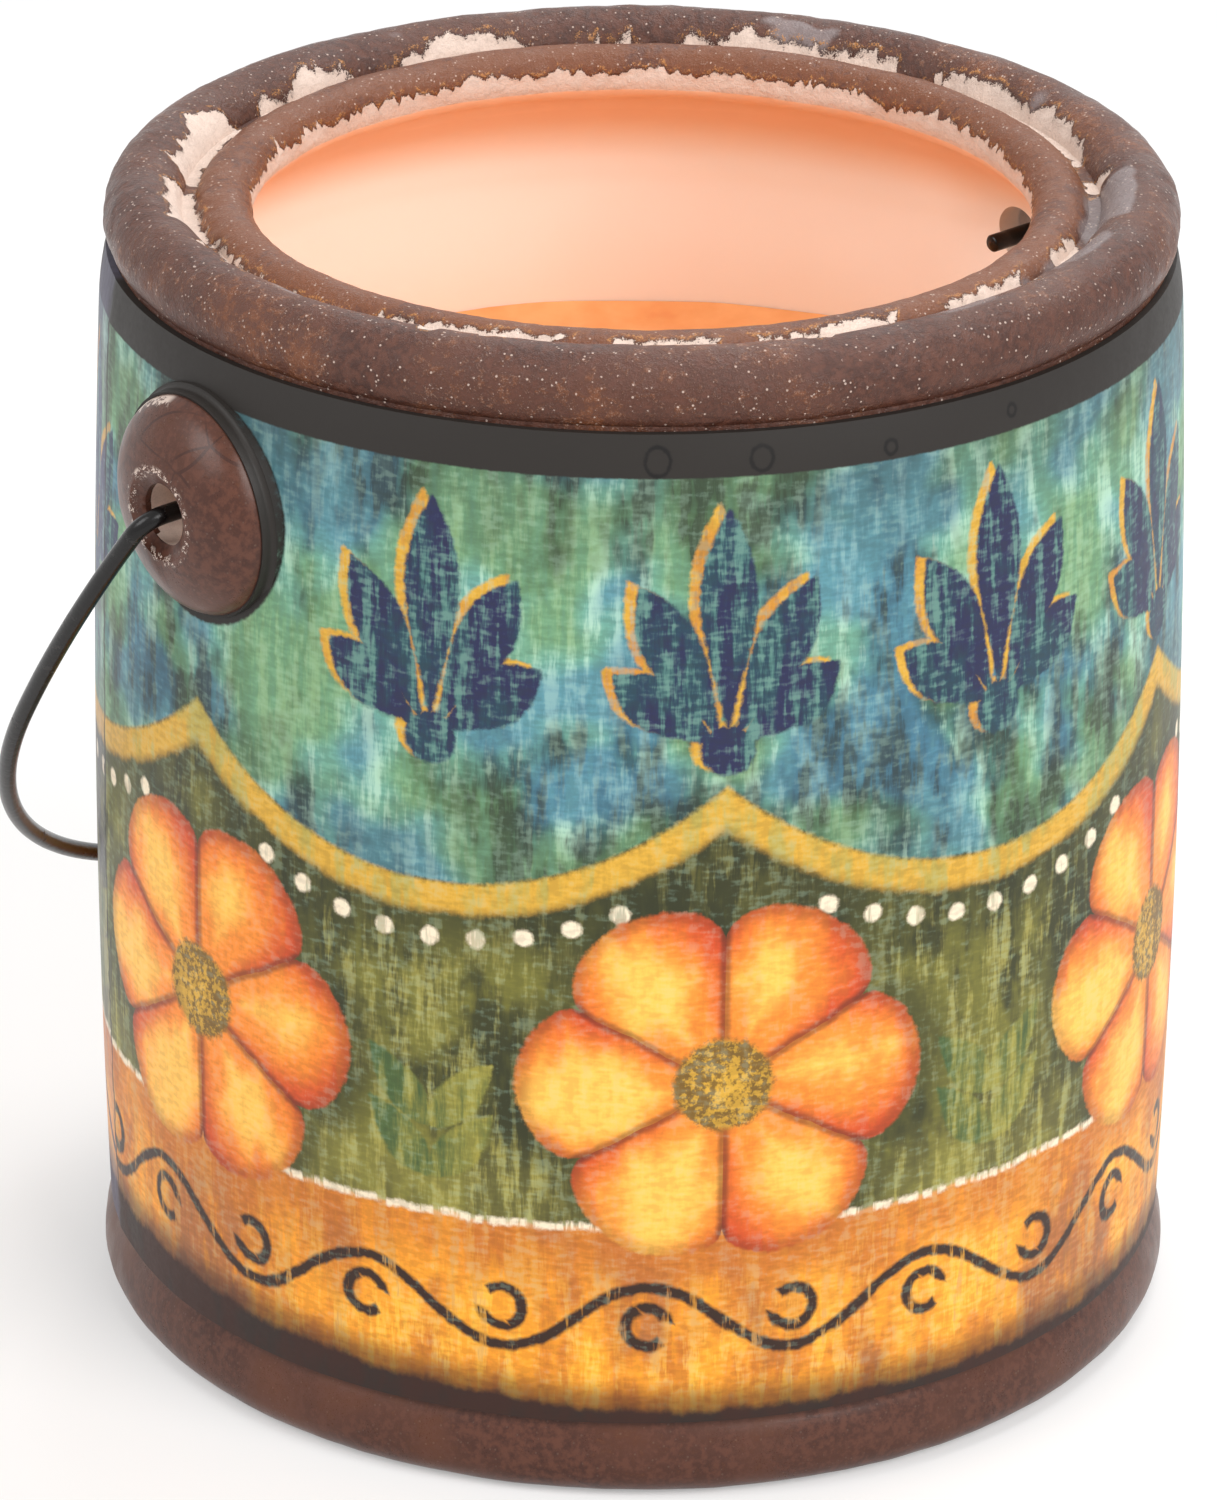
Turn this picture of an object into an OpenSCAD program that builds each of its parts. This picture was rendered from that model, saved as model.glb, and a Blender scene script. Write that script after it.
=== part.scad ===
// Handled crock candle: a slip-cast jar with a rolled rim and two pierced ears, a printed wrap round its
// side, a wax fill with two wicks, and a wire bail that swings in the ears.
// The origin is at the middle of the foot, +Z is up, and the ears lie along X.

/* [Jar] */
// Diameter at the fullest point of the side, over the print
belly_d = 108; // [100:1:116]
// Height of the fullest point
belly_z = 46; // [38:1:54]
// How far the side falls in between the belly and the shoulder
side_bow = 1.4; // [0.6:0.1:2.4]
// Drop from the rim's crest to the shoulder, where the side starts to turn in
shoulder_drop = 12.4; // [10.4:0.2:14.4]
// How far the side turns in between the shoulder and the notch under the rim
notch_in = 0.9; // [0.4:0.1:1.4]
// Thickness of the side wall
wall = 4.4; // [3.4:0.1:5.4]
// Thickness of the floor
floor_t = 6; // [4:0.5:8]
// Radius of the corner between the floor and the wall inside
floor_round = 6; // [3:0.5:9]

/* [Foot] */
// Height of the brown foot band
foot_h = 8; // [7:0.5:10]
// Radius of the foot's lower edge
foot_round = 3; // [2:0.5:5]
// How far the foot band stands out past the wall above it
foot_bulge = 1.4; // [0.8:0.1:1.8]
// Width of the ring that the jar stands on
foot_ring = 5; // [3:0.5:8]
// Height of the hollow under the floor
foot_hollow = 1.6; // [0.8:0.2:2.4]

/* [Rim] */
// Height of the rim's crest
jar_h = 116.4; // [115:0.2:118]
// Radius of the rim's outer roll
roll_r = 3.9; // [3.4:0.1:4.6]
// How far the outer roll stays inside the belly
roll_in = 2.1; // [1.4:0.1:2.6]
// Clear diameter of the mouth
mouth_d = 75; // [68:0.2:76]
// Radius of the rounded lip round the mouth
lip_r = 2.9; // [2.2:0.1:3.2]
// How far the lip's crest lies below the roll's crest
lip_drop = 1.3; // [0.6:0.1:2]
// Depth of the groove between the lip and the roll, below the lip's crest
groove = 1.7; // [1:0.1:2.4]
// Height of the slope from the wall up to the underside of the lip
ceiling_h = 6; // [4:0.5:8]

/* [Ears] */
// Drop from the rim's crest to the bail's axis, at the middle of the jar
ear_drop = 19.7; // [18.4:0.1:24.4]
// Slope of the line through both ears, which were set by hand
ear_slope = 2; // [0:0.1:3]
// Diameter of an ear
ear_d = 21.6; // [19:0.2:24]
// How far an ear stands out from the belly
ear_out = 3.8; // [3.2:0.1:5]
// Radius of an ear's rounded edge
ear_round = 3.4; // [2.4:0.1:3.6]
// Diameter of the hole through an ear
ear_hole_d = 6; // [4:0.2:7]
// Width of the worn lip round an ear's hole
ear_lip = 1.4; // [0.8:0.1:2]
// Depth of the worn lip
ear_lip_depth = 0.8; // [0.4:0.1:1.2]
// Diameter of the hollow in the wall behind an ear
dimple_d = 15; // [12:0.5:18]
// Depth of that hollow
dimple_depth = 2; // [1:0.1:2.6]

/* [Wrap] */
// Thickness of the printed film
film_t = 0.2; // [0.1:0.05:0.4]
// Gap between the film's top edge and the rim's roll
film_gap = 1.3; // [0.9:0.1:1.5]
// Thickness of one layer of ink
ink_t = 0.2; // [0.1:0.05:0.3]
// Width of the film's collar up the side of an ear, along the jar
collar_w = 1.2; // [1.2:0.1:2.4]
// Height of the collar up the side of an ear
collar_h = 1.2; // [0.6:0.1:2.4]

/* [Print] */
// Width of the dark bottom border, from the foot band up to the amber field
bottom_border = 2; // [1:0.5:4]
// Height of the cream line over the amber field
line_z = 29; // [25:0.5:31]
// Width of the cream line
line_w = 0.8; // [0.5:0.1:1.5]
// Height where the teal field starts, at the tips between two swags
teal_z = 75; // [73:0.5:78]
// Drop from the rim's crest to the dark top border
border_drop = 11; // [9.4:0.1:11.9]
// Number of swags and of blossoms round the jar
swag_n = 6; // [5:1:6]
// Depth of a swag below its tips
swag_drop = 11; // [8:0.5:12]
// Width of a swag's gold edge
swag_edge = 2.2; // [1.4:0.1:3]
// Outer radius of a blossom
bloom_r = 19.4; // [15:0.2:19.6]
// Height of a blossom's middle
bloom_z = 44.5; // [44:0.5:46]
// Number of petals in a blossom
petal_n = 6; // [5:1:10]
// Height of a palmette
palmette_h = 24; // [20:0.5:25]
// Gap between the tips of the swags and a palmette's foot
palmette_gap = 3.6; // [3.2:0.1:4.4]
// Width of one lobe of a palmette
lobe_w = 5.6; // [4:0.2:6.4]
// Radius of the base that the lobes grow from
palmette_base_r = 2.6; // [2:0.1:3]
// Width of the gold edge beside a lobe
lobe_edge = 1; // [0.6:0.1:1.4]
// Length of a leaf of the sprigs between the blossoms
leaf_l = 10; // [7:0.5:11]
// Width of the vine's stem
vine_w = 1.1; // [0.8:0.1:1.8]
// How far the vine swings above and below its middle
vine_swing = 3.6; // [2:0.2:4]

/* [Wax and wicks] */
// Drop from the rim's crest to the wax, at the middle of the jar
wax_drop = 32.8; // [28.4:0.2:46.4]
// How far the wax creeps up the wall
wax_creep = 0.9; // [0.4:0.1:1.6]
// Distance between the two wicks
wick_gap = 36; // [26:1:44]
// Diameter of a wick
wick_d = 2.6; // [2:0.1:3.4]
// Length of wick above the wax
wick_out = 6.5; // [4:0.5:8]
// Diameter of a wick tab
tab_d = 20; // [14:1:22]
// Thickness of a wick tab
tab_t = 0.6; // [0.4:0.1:1]
// Height of a wick tab's neck
tab_neck_h = 6; // [4:0.5:9]
// Wall of a wick tab's neck
tab_neck_wall = 0.6; // [0.4:0.1:1]

/* [Bail] */
// Diameter of the coated wire
wire_d = 1.8; // [1.4:0.1:2.2]
// How far inside an ear's face the wire starts to bend
bend_tuck = 0.8; // [0:0.1:1.6]
// Radius of that bend
bend_r = 2.6; // [1.6:0.1:3.4]
// Length of wire that shows inside the wall
stub_in = 4; // [3:0.5:7]
// Lean of a leg, outward where it leaves its bend and inward where it meets the bow
leg_lean = 6; // [4:0.5:8]
// Radius of a leg's gentle curve
leg_r = 155; // [120:5:180]
// Gap between the hanging wire and the jar
rest_gap = 0.3; // [0.2:0.05:0.6]

/* [Hidden] */
$fn = 96;

// Colours
glaze_brown = "#5f4036";
bisque = "#f4cdb4";
film_grey = "#3a3735";
teal = "#6f9f8c";
green = "#59602c";
amber = "#eda23c";
cream = "#efe0c8";
gold = "#e3a93a";
navy = "#33325a";
orange = "#ee8a34";
leaf_green = "#38502f";
umber = "#4a2c1c";
wax_orange = "#f79e58";
cotton = "#efe9dc";
tinplate = "#b9bcc0";
wire_black = "#26201f";

// Steps that approximate the curves
side_steps = 8;
shoulder_steps = 3;
arc_steps = 8;
wire_sides = 12;
bend_steps = 6;
leg_steps = 5;
bow_steps = 18;

// Azimuth where a turned surface starts and ends, clear of the ears
seam_turn = 22;

// Print layers, counted outward from the film
layers = 3;
wrap_t = film_t + layers * ink_t;

// Heights that hang from the rim's crest
shoulder_z = jar_h - shoulder_drop;
ear_z = jar_h - ear_drop;
border_z = jar_h - border_drop;
wax_z = jar_h - wax_drop;

// Share of the turn at the shoulder that comes late, and how deep a joined shape reaches into the wall
late_turn = 0.7;
bite = 1;

// Rim
belly_r = belly_d / 2;
roll_c = belly_r - roll_in - roll_r;
roll_z = jar_h - roll_r;
lip_c = mouth_d / 2 + lip_r;
lip_z = jar_h - lip_drop - lip_r;
groove_z = lip_z + lip_r - groove;
ceiling_z = lip_z - lip_r - ceiling_h;

// Side, outside the print: a slow arc up to the shoulder, then in to the notch under the roll
notch_r = belly_r - side_bow - notch_in;
notch_z = roll_z - sqrt(pow(roll_r, 2) - pow(notch_r - wrap_t - roll_c, 2));
bow_r = (pow(shoulder_z - belly_z, 2) + pow(side_bow, 2)) / (2 * side_bow);
function shoulder_part(z) = (z - shoulder_z) / (notch_z - shoulder_z);
function side_drop(z) = z <= shoulder_z
  ? bow_r - sqrt(pow(bow_r, 2) - pow(z - belly_z, 2))
  : side_bow + notch_in * ((1 - late_turn) * shoulder_part(z) + late_turn * pow(shoulder_part(z), 2));
side_z = concat(
  [for (i = [0 : side_steps]) foot_h + (shoulder_z - foot_h) * i / side_steps],
  [for (i = [1 : shoulder_steps]) shoulder_z + (notch_z - shoulder_z) * i / shoulder_steps]
);
side_table = [for (z = side_z) [z, belly_r - side_drop(z)]];
function skin_r(z) = lookup(z, side_table);
function jar_r(z) = skin_r(z) - wrap_t;
function cavity_r(z) = jar_r(max(z, foot_h)) - wall;

// Levels of the side between two heights, both included
function levels(low, high) = concat([low], [for (z = side_z) if (z > low && z < high) z], [high]);
function falling(list) = [for (i = [len(list) - 1 : -1 : 0]) list[i]];
function arc(x, y, r, from, to, steps = arc_steps) =
  [for (i = [0 : steps]) let (a = from + (to - from) * i / steps) [x + r * cos(a), y + r * sin(a)]];

// Foot
foot_r = jar_r(foot_h) + foot_bulge;
foot_rise = foot_h - foot_round;
crown_r = (pow(foot_rise, 2) + pow(foot_bulge, 2)) / (2 * foot_bulge);
crown_a = asin(foot_rise / crown_r);
ring_r = foot_r - foot_round;
hollow_r = ring_r - foot_ring;

// Ears
ear_face = belly_r + ear_out;
ear_r = ear_d / 2;
ear_hole_r = ear_hole_d / 2;
ear_edge_a = 68;
ear_edge_r = ear_r - ear_round;
ear_face_fall = (ear_edge_r + ear_round * cos(ear_edge_a) - ear_hole_r - ear_lip) * tan(90 - ear_edge_a);
ear_edge_x = ear_face - ear_face_fall - ear_round * sin(ear_edge_a);
ear_root = cavity_r(ear_z) + bite;
lip_run = 1.5;
dimple_r = (pow(dimple_d / 2, 2) + pow(dimple_depth, 2)) / (2 * dimple_depth);
collar_r = ear_r + collar_w;
collar_climb = 0.95;
collar_a = asin(min(collar_climb, (skin_r(ear_z) + collar_h - ear_edge_x) / ear_round));
collar_root = sqrt(pow(jar_r(ear_z), 2) - pow(collar_r, 2)) - bite;
film_top = notch_z - film_gap;

// Wax and wicks
wick_r = wick_d / 2;
neck_r = wick_r + tab_neck_wall;
wax_top = wax_z + wax_creep;
wax_edge = 6;
wick_tip = 0.6;

// Bail, in its own plane: x along the ears, y down the legs
wire_r = wire_d / 2;
loop_wire_r = 0.995 * wire_r;
bend_x = ear_face - bend_tuck;
stub_x = cavity_r(ear_z) - stub_in;
leg_x = bend_x + bend_r * cos(leg_lean);
leg_y = bend_r * (1 - sin(leg_lean));
bow_y = leg_y + 2 * leg_r * sin(leg_lean);
hoop_r = leg_x / cos(leg_lean);
hoop_y = bow_y - hoop_r * sin(leg_lean);
bail_l = hoop_y + hoop_r;
bail_fall = acos((belly_r + wire_r + rest_gap) / bail_l);

// Belly and height of the jar that the print is drawn for. On another jar its heights follow the jar's height,
// and its shapes keep their proportions and follow the height or the belly, whichever asks for less
drawn_for = [108, 116.4];
tall = jar_h / drawn_for[1];
fit = min(belly_d / drawn_for[0], tall);
amber_low = foot_h + bottom_border;
line_low = line_z * tall;
green_low = line_low + line_w;
teal_low = teal_z * tall;
swag_fall = swag_drop * tall;
swag_pitch = 360 / swag_n;
swag_half = belly_r * sin(swag_pitch / 2);
swag_r = (pow(swag_half, 2) + pow(swag_fall, 2)) / (2 * swag_fall);
swag_lap = 1;
palmette_n = 2 * swag_n;
vine_mid = (amber_low + line_low) / 2;
vine_n = 12;
curl_r = 2.6;
curl_turn = 250;
curl_drop = 4.2;
lobe_fan = 27;
lobe_fall = 0.22;
lobe_shoulder = 1.5;
dot_r = 0.8;
dot_gap = 2.6;
dot_step = 6;
dot_spread = 24;
heart_r = 4.8;
petal_dip = 0.22;
sprig_z = 33;
sprig_step = 5.5;
sprig_lean = 40;
leaf_shape = 0.42;
leaf_shoulder = 0.8;

module spin(section) {
  rotate_extrude() polygon(section);
}

// The same, with the start of the turned surface clear of the ears
module spin_side(section) {
  rotate([0, 0, seam_turn]) spin(section);
}

// A skin over the side between two heights, from one depth below the outermost print to another
module skin(low, high, outer, inner) {
  z = levels(low, high);
  spin_side(concat([for (h = z) [skin_r(h) - outer, h]], [for (h = falling(z)) [skin_r(h) - inner, h]]));
}

// One layer of ink: layer 1 lies on the film, the next ones on the layer below
module ink_layer(layer, low = foot_h, high = notch_z) {
  skin(low, high, (layers - layer) * ink_t, (layers - layer + 1) * ink_t);
}

// Cuts a flat shape, drawn with x round the jar and y up, through the print at an azimuth and a height
module at_side(azimuth, z) {
  rotate([0, 0, azimuth]) translate([belly_r * 0.7, 0, z]) rotate([90, 0, 90])
    linear_extrude(belly_r * 0.4) children();
}

// Places children on the line through both ears: z runs out of the jar
module at_ears() {
  translate([0, 0, ear_z]) rotate([0, -ear_slope, 0])
    for (turn = [0, 180]) rotate([0, 0, turn]) rotate([0, 90, 0]) children();
}

module jar_wall() {
  corner_z = floor_t + floor_round;
  corner_r = cavity_r(corner_z) - floor_round;
  outer = concat(
    arc(ring_r, foot_round, foot_round, -90, 0),
    [for (p = arc(foot_r - crown_r, foot_round, crown_r, 0, crown_a)) if (p[1] > foot_round) p],
    [for (z = side_z) if (z > foot_h) [jar_r(z), z]]
  );
  rim = [[roll_c, roll_z], [roll_c, groove_z], [lip_c, groove_z], [lip_c, lip_z - lip_r]];
  inner = [for (z = falling(levels(corner_z, ceiling_z))) [cavity_r(z), z]];
  corner = [for (p = arc(corner_r, corner_z, floor_round, 0, -90)) if (p[1] < corner_z) p];
  base = [[0, floor_t], [0, foot_hollow], [hollow_r - foot_hollow, foot_hollow], [hollow_r, 0]];
  rotate_extrude() union() {
    polygon(concat(outer, rim, inner, corner, base));
    translate([roll_c, roll_z]) circle(roll_r);
    translate([lip_c, lip_z]) circle(lip_r);
  }
}

module ear() {
  edge = arc(ear_edge_r, ear_edge_x, ear_round, 0, ear_edge_a);
  spin(concat([[0, ear_root], [ear_r, ear_root]], edge, [[ear_hole_r + ear_lip, ear_face], [0, ear_face]]));
}

module jar() {
  color(glaze_brown) difference() {
    union() {
      jar_wall();
      at_ears() ear();
    }
    color(bisque) at_ears() {
      translate([0, 0, ear_root - wall]) cylinder(r = ear_hole_r, h = ear_face);
      translate([0, 0, ear_face - ear_lip_depth])
        cylinder(r1 = ear_hole_r, r2 = ear_hole_r + ear_lip * lip_run, h = ear_lip_depth * lip_run);
      translate([0, 0, cavity_r(ear_z) + dimple_depth - dimple_r]) sphere(dimple_r);
    }
  }
}

// The film's collar: it climbs the side of an ear and flares out onto the jar
module collar() {
  sleeve = arc(ear_edge_r, ear_edge_x, ear_round, collar_a, 0);
  cover = arc(ear_edge_r, ear_edge_x, ear_round + film_t, 0, collar_a);
  flare = arc(collar_r, ear_edge_x, collar_w - film_t, 260, 180, 4);
  spin(concat(sleeve, [[ear_r, collar_root], [collar_r, collar_root]], flare, cover));
}

module ear_clearance(r) {
  at_ears() translate([0, 0, ear_root]) cylinder(r = r, h = belly_r);
}

module wrap_film() {
  color(film_grey) union() {
    difference() {
      skin(foot_h, film_top, layers * ink_t, wrap_t);
      ear_clearance(ear_r);
    }
    difference() {
      at_ears() collar();
      spin_side(concat([[0, foot_h]], [for (z = side_z) [jar_r(z), z]], [[0, notch_z]]));
    }
  }
}

// A flat leaf of a length and a width, pointed at both ends; a shoulder over 1 widens its outer half
module leaf(l, w, shoulder) {
  steps = 8;
  function half(t) = w / 2 * sin(180 * pow(t, shoulder));
  right = [for (i = [0 : steps]) let (t = i / steps) [half(t), l * t]];
  left = [for (i = [steps - 1 : -1 : 1]) let (t = i / steps) [-half(t), l * t]];
  polygon(concat(right, left));
}

// A fan of five lobes on a round base, the middle lobe the tallest
module palmette() {
  circle(palmette_base_r, $fn = 12);
  for (i = [-2 : 2]) rotate(i * lobe_fan) leaf(palmette_h * (1 - lobe_fall * abs(i)), lobe_w, lobe_shoulder);
}

// The edge that shows to the left of a palmette, as if the same shape lay behind it
module palmette_edge() {
  difference() {
    translate([-lobe_edge, lobe_edge / 2]) palmette();
    palmette();
  }
}

// Places children round the teal field, apart from the two places where an ear leaves no room
module at_palmettes() {
  for (i = [0 : palmette_n - 1]) {
    a = 360 * i / palmette_n;
    if (abs(sin(a)) * belly_r > collar_r) at_side(a, teal_low + palmette_gap * tall) scale([fit, fit]) children();
  }
}

// What lies between a swag's arc, of some radius about its centre, and a level over or under it
module swag_arc(r, level) {
  a = asin(swag_half / swag_r);
  polygon(concat(arc(0, swag_r - swag_fall, r, 270 - a, 270 + a), [[swag_half, level], [-swag_half, level]]));
}

module at_swags() {
  for (i = [0 : swag_n - 1]) at_side(swag_pitch * (i + 0.5), teal_low) children();
}

module at_blooms() {
  for (i = [0 : swag_n - 1]) at_side(swag_pitch * i, bloom_z * tall) scale([fit, fit]) children();
}

module ink_teal() {
  color(teal) difference() {
    ink_layer(1, teal_low - swag_fall, border_z);
    at_swags() swag_arc(swag_r, -swag_fall - swag_lap);
    ear_clearance(collar_r);
  }
}

module ink_green() {
  color(green) difference() {
    ink_layer(1, green_low, teal_low);
    at_swags() swag_arc(swag_r, swag_lap);
  }
}

module ink_amber() {
  color(amber) ink_layer(1, amber_low, line_low);
}

module ink_cream() {
  color(cream) {
    ink_layer(1, line_low, green_low);
    intersection() {
      ink_layer(2);
      at_swags() translate([0, swag_r - swag_fall]) for (a = [-dot_spread : dot_step : dot_spread])
        rotate(a) translate([0, -swag_r - swag_edge - dot_gap * fit]) scale([fit, fit]) circle(dot_r, $fn = 8);
    }
  }
}

module ink_gold() {
  color(gold) {
    intersection() {
      ink_layer(2);
      union() {
        at_swags() difference() {
          swag_arc(swag_r + swag_edge, 0);
          swag_arc(swag_r, swag_lap);
        }
        at_palmettes() palmette_edge();
      }
    }
    intersection() {
      ink_layer(3);
      at_blooms() circle(heart_r, $fn = 12);
    }
  }
}

module ink_navy() {
  color(navy) intersection() {
    ink_layer(2);
    at_palmettes() palmette();
  }
}

// The outline dips between one petal and the next
module bloom(r) {
  steps = petal_n * 8;
  function reach(a) = r * (1 - petal_dip + petal_dip * sqrt(abs(sin(a * petal_n / 2))));
  polygon([for (i = [0 : steps - 1]) let (a = 360 * i / steps) reach(a) * [sin(a), cos(a)]]);
}

module ink_orange() {
  color(orange) intersection() {
    ink_layer(2);
    at_blooms() bloom(bloom_r);
  }
}

module ink_leaf() {
  color(leaf_green) intersection() {
    ink_layer(2);
    at_swags() translate([0, sprig_z * tall - teal_low]) scale([fit, fit]) for (side = [-1, 1], up = [0, 1])
      translate([0, up * sprig_step]) rotate(side * sprig_lean)
        leaf(leaf_l, leaf_l * leaf_shape, leaf_shoulder);
  }
}

// One wave of the vine and its two curls
module vine_wave() {
  steps = 10;
  half = 180 / vine_n;
  function across(t) = belly_r * sin(half * t);
  function up(t) = vine_swing * fit * sin(180 * t);
  run = [for (i = [-steps : 2 : steps]) i / steps];
  polygon(concat(
    [for (t = run) [across(t), up(t) + vine_w / 2]],
    [for (t = falling(run)) [across(t), up(t) - vine_w / 2]]
  ));
  curl = concat(arc(0, 0, curl_r, 0, curl_turn), falling(arc(0, 0, curl_r - vine_w, 0, curl_turn)));
  for (side = [-1, 1]) translate([side * across(0.5), side * (vine_swing - curl_drop) * fit])
    rotate(side > 0 ? 90 : 270) scale([fit, fit]) polygon(curl);
}

module ink_umber() {
  color(umber) {
    intersection() {
      ink_layer(2);
      for (i = [0 : vine_n - 1]) at_side(360 / vine_n * (i + 0.5), vine_mid) vine_wave();
    }
  }
}

module at_wick(i) {
  translate([(i - 1.5) * wick_gap, 0, 0]) children();
}

module wax_fill() {
  edge_r = cavity_r(wax_top);
  corner_z = floor_t + floor_round;
  corner_r = cavity_r(corner_z) - floor_round;
  corner = [for (p = arc(corner_r, corner_z, floor_round, -90, 0)) if (p[1] < corner_z) p];
  side = [for (z = levels(corner_z, wax_top)) [cavity_r(z), z]];
  creep = [for (i = [1 : 4]) [edge_r - wax_edge * i / 4, wax_z + wax_creep * pow(1 - i / 4, 2)]];
  color(wax_orange) difference() {
    spin(concat([[0, floor_t]], corner, side, creep, [[0, wax_z]]));
    for (i = [1, 2]) at_wick(i) {
      translate([0, 0, floor_t - 1]) cylinder(r = tab_d / 2, h = 1 + tab_t);
      translate([0, 0, floor_t]) cylinder(r = neck_r, h = tab_t + tab_neck_h);
      translate([0, 0, floor_t]) cylinder(r = wick_r, h = wax_top);
    }
  }
}

module wick(i) {
  top = wax_z + wick_out;
  color(cotton) at_wick(i) {
    translate([0, 0, floor_t + tab_t]) cylinder(r = wick_r, h = top - wick_tip - floor_t - tab_t);
    translate([0, 0, top - wick_tip]) cylinder(r1 = wick_r, r2 = wick_r - wick_tip, h = wick_tip);
  }
}

module wick_tab(i) {
  color(tinplate) at_wick(i) translate([0, 0, floor_t]) {
    cylinder(r = tab_d / 2, h = tab_t);
    difference() {
      cylinder(r = neck_r, h = tab_t + tab_neck_h);
      translate([0, 0, tab_t]) cylinder(r = wick_r, h = tab_neck_h + 1);
    }
  }
}

// The loop's middle line in the bail's plane, from the bend at the +X ear to the one at the -X ear
function half_loop() = concat(
  arc(bend_x, bend_r, bend_r, -90, -leg_lean, bend_steps),
  [for (i = [1 : leg_steps]) let (a = -leg_lean + 2 * leg_lean * i / leg_steps)
    [leg_x - leg_r * (cos(leg_lean) - cos(a)), leg_y + leg_r * (sin(leg_lean) + sin(a))]],
  [for (i = [1 : bow_steps]) let (a = leg_lean + (90 - leg_lean) * i / bow_steps)
    [hoop_r * cos(a), hoop_y + hoop_r * sin(a)]]
);
function loop_line() = let (half = half_loop())
  concat(half, [for (i = [len(half) - 2 : -1 : 0]) [-half[i][0], half[i][1]]]);

// Round wire swept along the loop: one ring of points at each point of its middle line
module loop_wire() {
  line = loop_line();
  last = len(line) - 1;
  rings = [for (i = [0 : last])
    let (way = line[min(i + 1, last)] - line[max(i - 1, 0)],
      along = i == 0 || i == last ? [1, 0] : way / norm(way))
    for (k = [0 : wire_sides - 1]) let (a = 360 * k / wire_sides)
      [line[i][0] - along[1] * loop_wire_r * cos(a), line[i][1] + along[0] * loop_wire_r * cos(a),
        loop_wire_r * sin(a)]];
  around = [for (i = [0 : last - 1], k = [0 : wire_sides - 1]) let (n = (k + 1) % wire_sides)
    [i * wire_sides + k, (i + 1) * wire_sides + k, (i + 1) * wire_sides + n, i * wire_sides + n]];
  polyhedron(rings, concat(
    [[for (k = [0 : wire_sides - 1]) k]],
    around,
    [[for (k = [wire_sides - 1 : -1 : 0]) last * wire_sides + k]]
  ));
}

module bail() {
  color(wire_black) translate([0, 0, ear_z]) rotate([0, -ear_slope, 0]) rotate([-bail_fall, 0, 0]) {
    loop_wire();
    for (turn = [0, 180]) rotate([0, turn, 0])
      translate([stub_x, 0, 0]) rotate([0, 90, 0]) cylinder(r = wire_r, h = bend_x - stub_x);
  }
}

jar();
wrap_film();
ink_teal();
ink_green();
ink_amber();
ink_cream();
ink_gold();
ink_navy();
ink_orange();
ink_leaf();
ink_umber();
wax_fill();
wick(1);  // wick_1
wick(2);  // wick_2
wick_tab(1);  // wick_tab_1
wick_tab(2);  // wick_tab_2
bail();
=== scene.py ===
"""Looks of a handled crock candle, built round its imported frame: a worn glazed crock, a printed wrap, wax with
its wicks, and a coated wire bail. Lengths are in metres, and the noise in the materials is in millimetres."""

import math

import bpy
from bpy.props import FloatProperty, FloatVectorProperty, IntProperty, PointerProperty
from mathutils import Matrix, Vector, noise


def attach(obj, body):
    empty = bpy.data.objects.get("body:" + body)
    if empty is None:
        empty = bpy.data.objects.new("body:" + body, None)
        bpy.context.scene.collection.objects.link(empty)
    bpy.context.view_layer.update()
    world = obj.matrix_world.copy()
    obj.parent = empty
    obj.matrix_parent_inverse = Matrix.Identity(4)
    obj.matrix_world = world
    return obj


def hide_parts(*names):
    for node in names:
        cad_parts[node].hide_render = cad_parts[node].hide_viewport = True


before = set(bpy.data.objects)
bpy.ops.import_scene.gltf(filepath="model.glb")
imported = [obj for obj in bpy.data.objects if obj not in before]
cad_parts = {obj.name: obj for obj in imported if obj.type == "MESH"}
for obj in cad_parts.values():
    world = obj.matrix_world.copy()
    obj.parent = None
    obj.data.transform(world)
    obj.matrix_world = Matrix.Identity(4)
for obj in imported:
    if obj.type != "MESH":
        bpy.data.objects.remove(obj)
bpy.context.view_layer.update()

bl_info = {
    "name": "Handled crock candle",
    "version": (1, 0, 0),
    "blender": (4, 5, 0),
    "location": "3D View > Sidebar > Candle",
    "description": "Builds a worn crock candle with a printed wrap and a wire bail",
    "category": "Add Mesh",
}

MM = 0.001
PHOTO_H = 1500
EAR_TURNS = (0, math.pi)

# Columns that turned pieces have round their axes
CROCK_COLUMNS, WRAP_COLUMNS, WAX_COLUMNS = 512, 420, 200
EAR_COLUMNS, COLLAR_COLUMNS, HOLE_COLUMNS, POCKET_COLUMNS = 112, 128, 64, 48

# Blisters in the film's top border: azimuth in degrees, height and radius in millimetres
BLISTERS = ((232.8, 107.0, 1.2), (243.3, 107.0, 1.05), (257.0, 106.6, 0.6), (272.0, 107.3, 0.5))


def length(label, about, millimetres):
    """A length that a user would change, written in millimetres and kept in metres."""
    return FloatProperty(
        name=label, description=about, default=millimetres * MM, precision=5, unit="LENGTH", subtype="DISTANCE"
    )


def angle(label, about, degrees):
    """An angle that a user would change, written in degrees and kept in radians."""
    return FloatProperty(name=label, description=about, default=math.radians(degrees), subtype="ANGLE")


def linear(code):
    """A colour as the shaders take it, from the code of how it looks on a screen."""
    parts = [int(code[i : i + 2], 16) / 255 for i in (1, 3, 5)]
    return [c / 12.92 if c < 0.04045 else ((c + 0.055) / 1.055) ** 2.4 for c in parts]


def colour(label, about, code):
    """A colour that a user would change."""
    return FloatVectorProperty(
        name=label, description=about, default=linear(code), subtype="COLOR", size=3, min=0, max=1
    )


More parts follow.
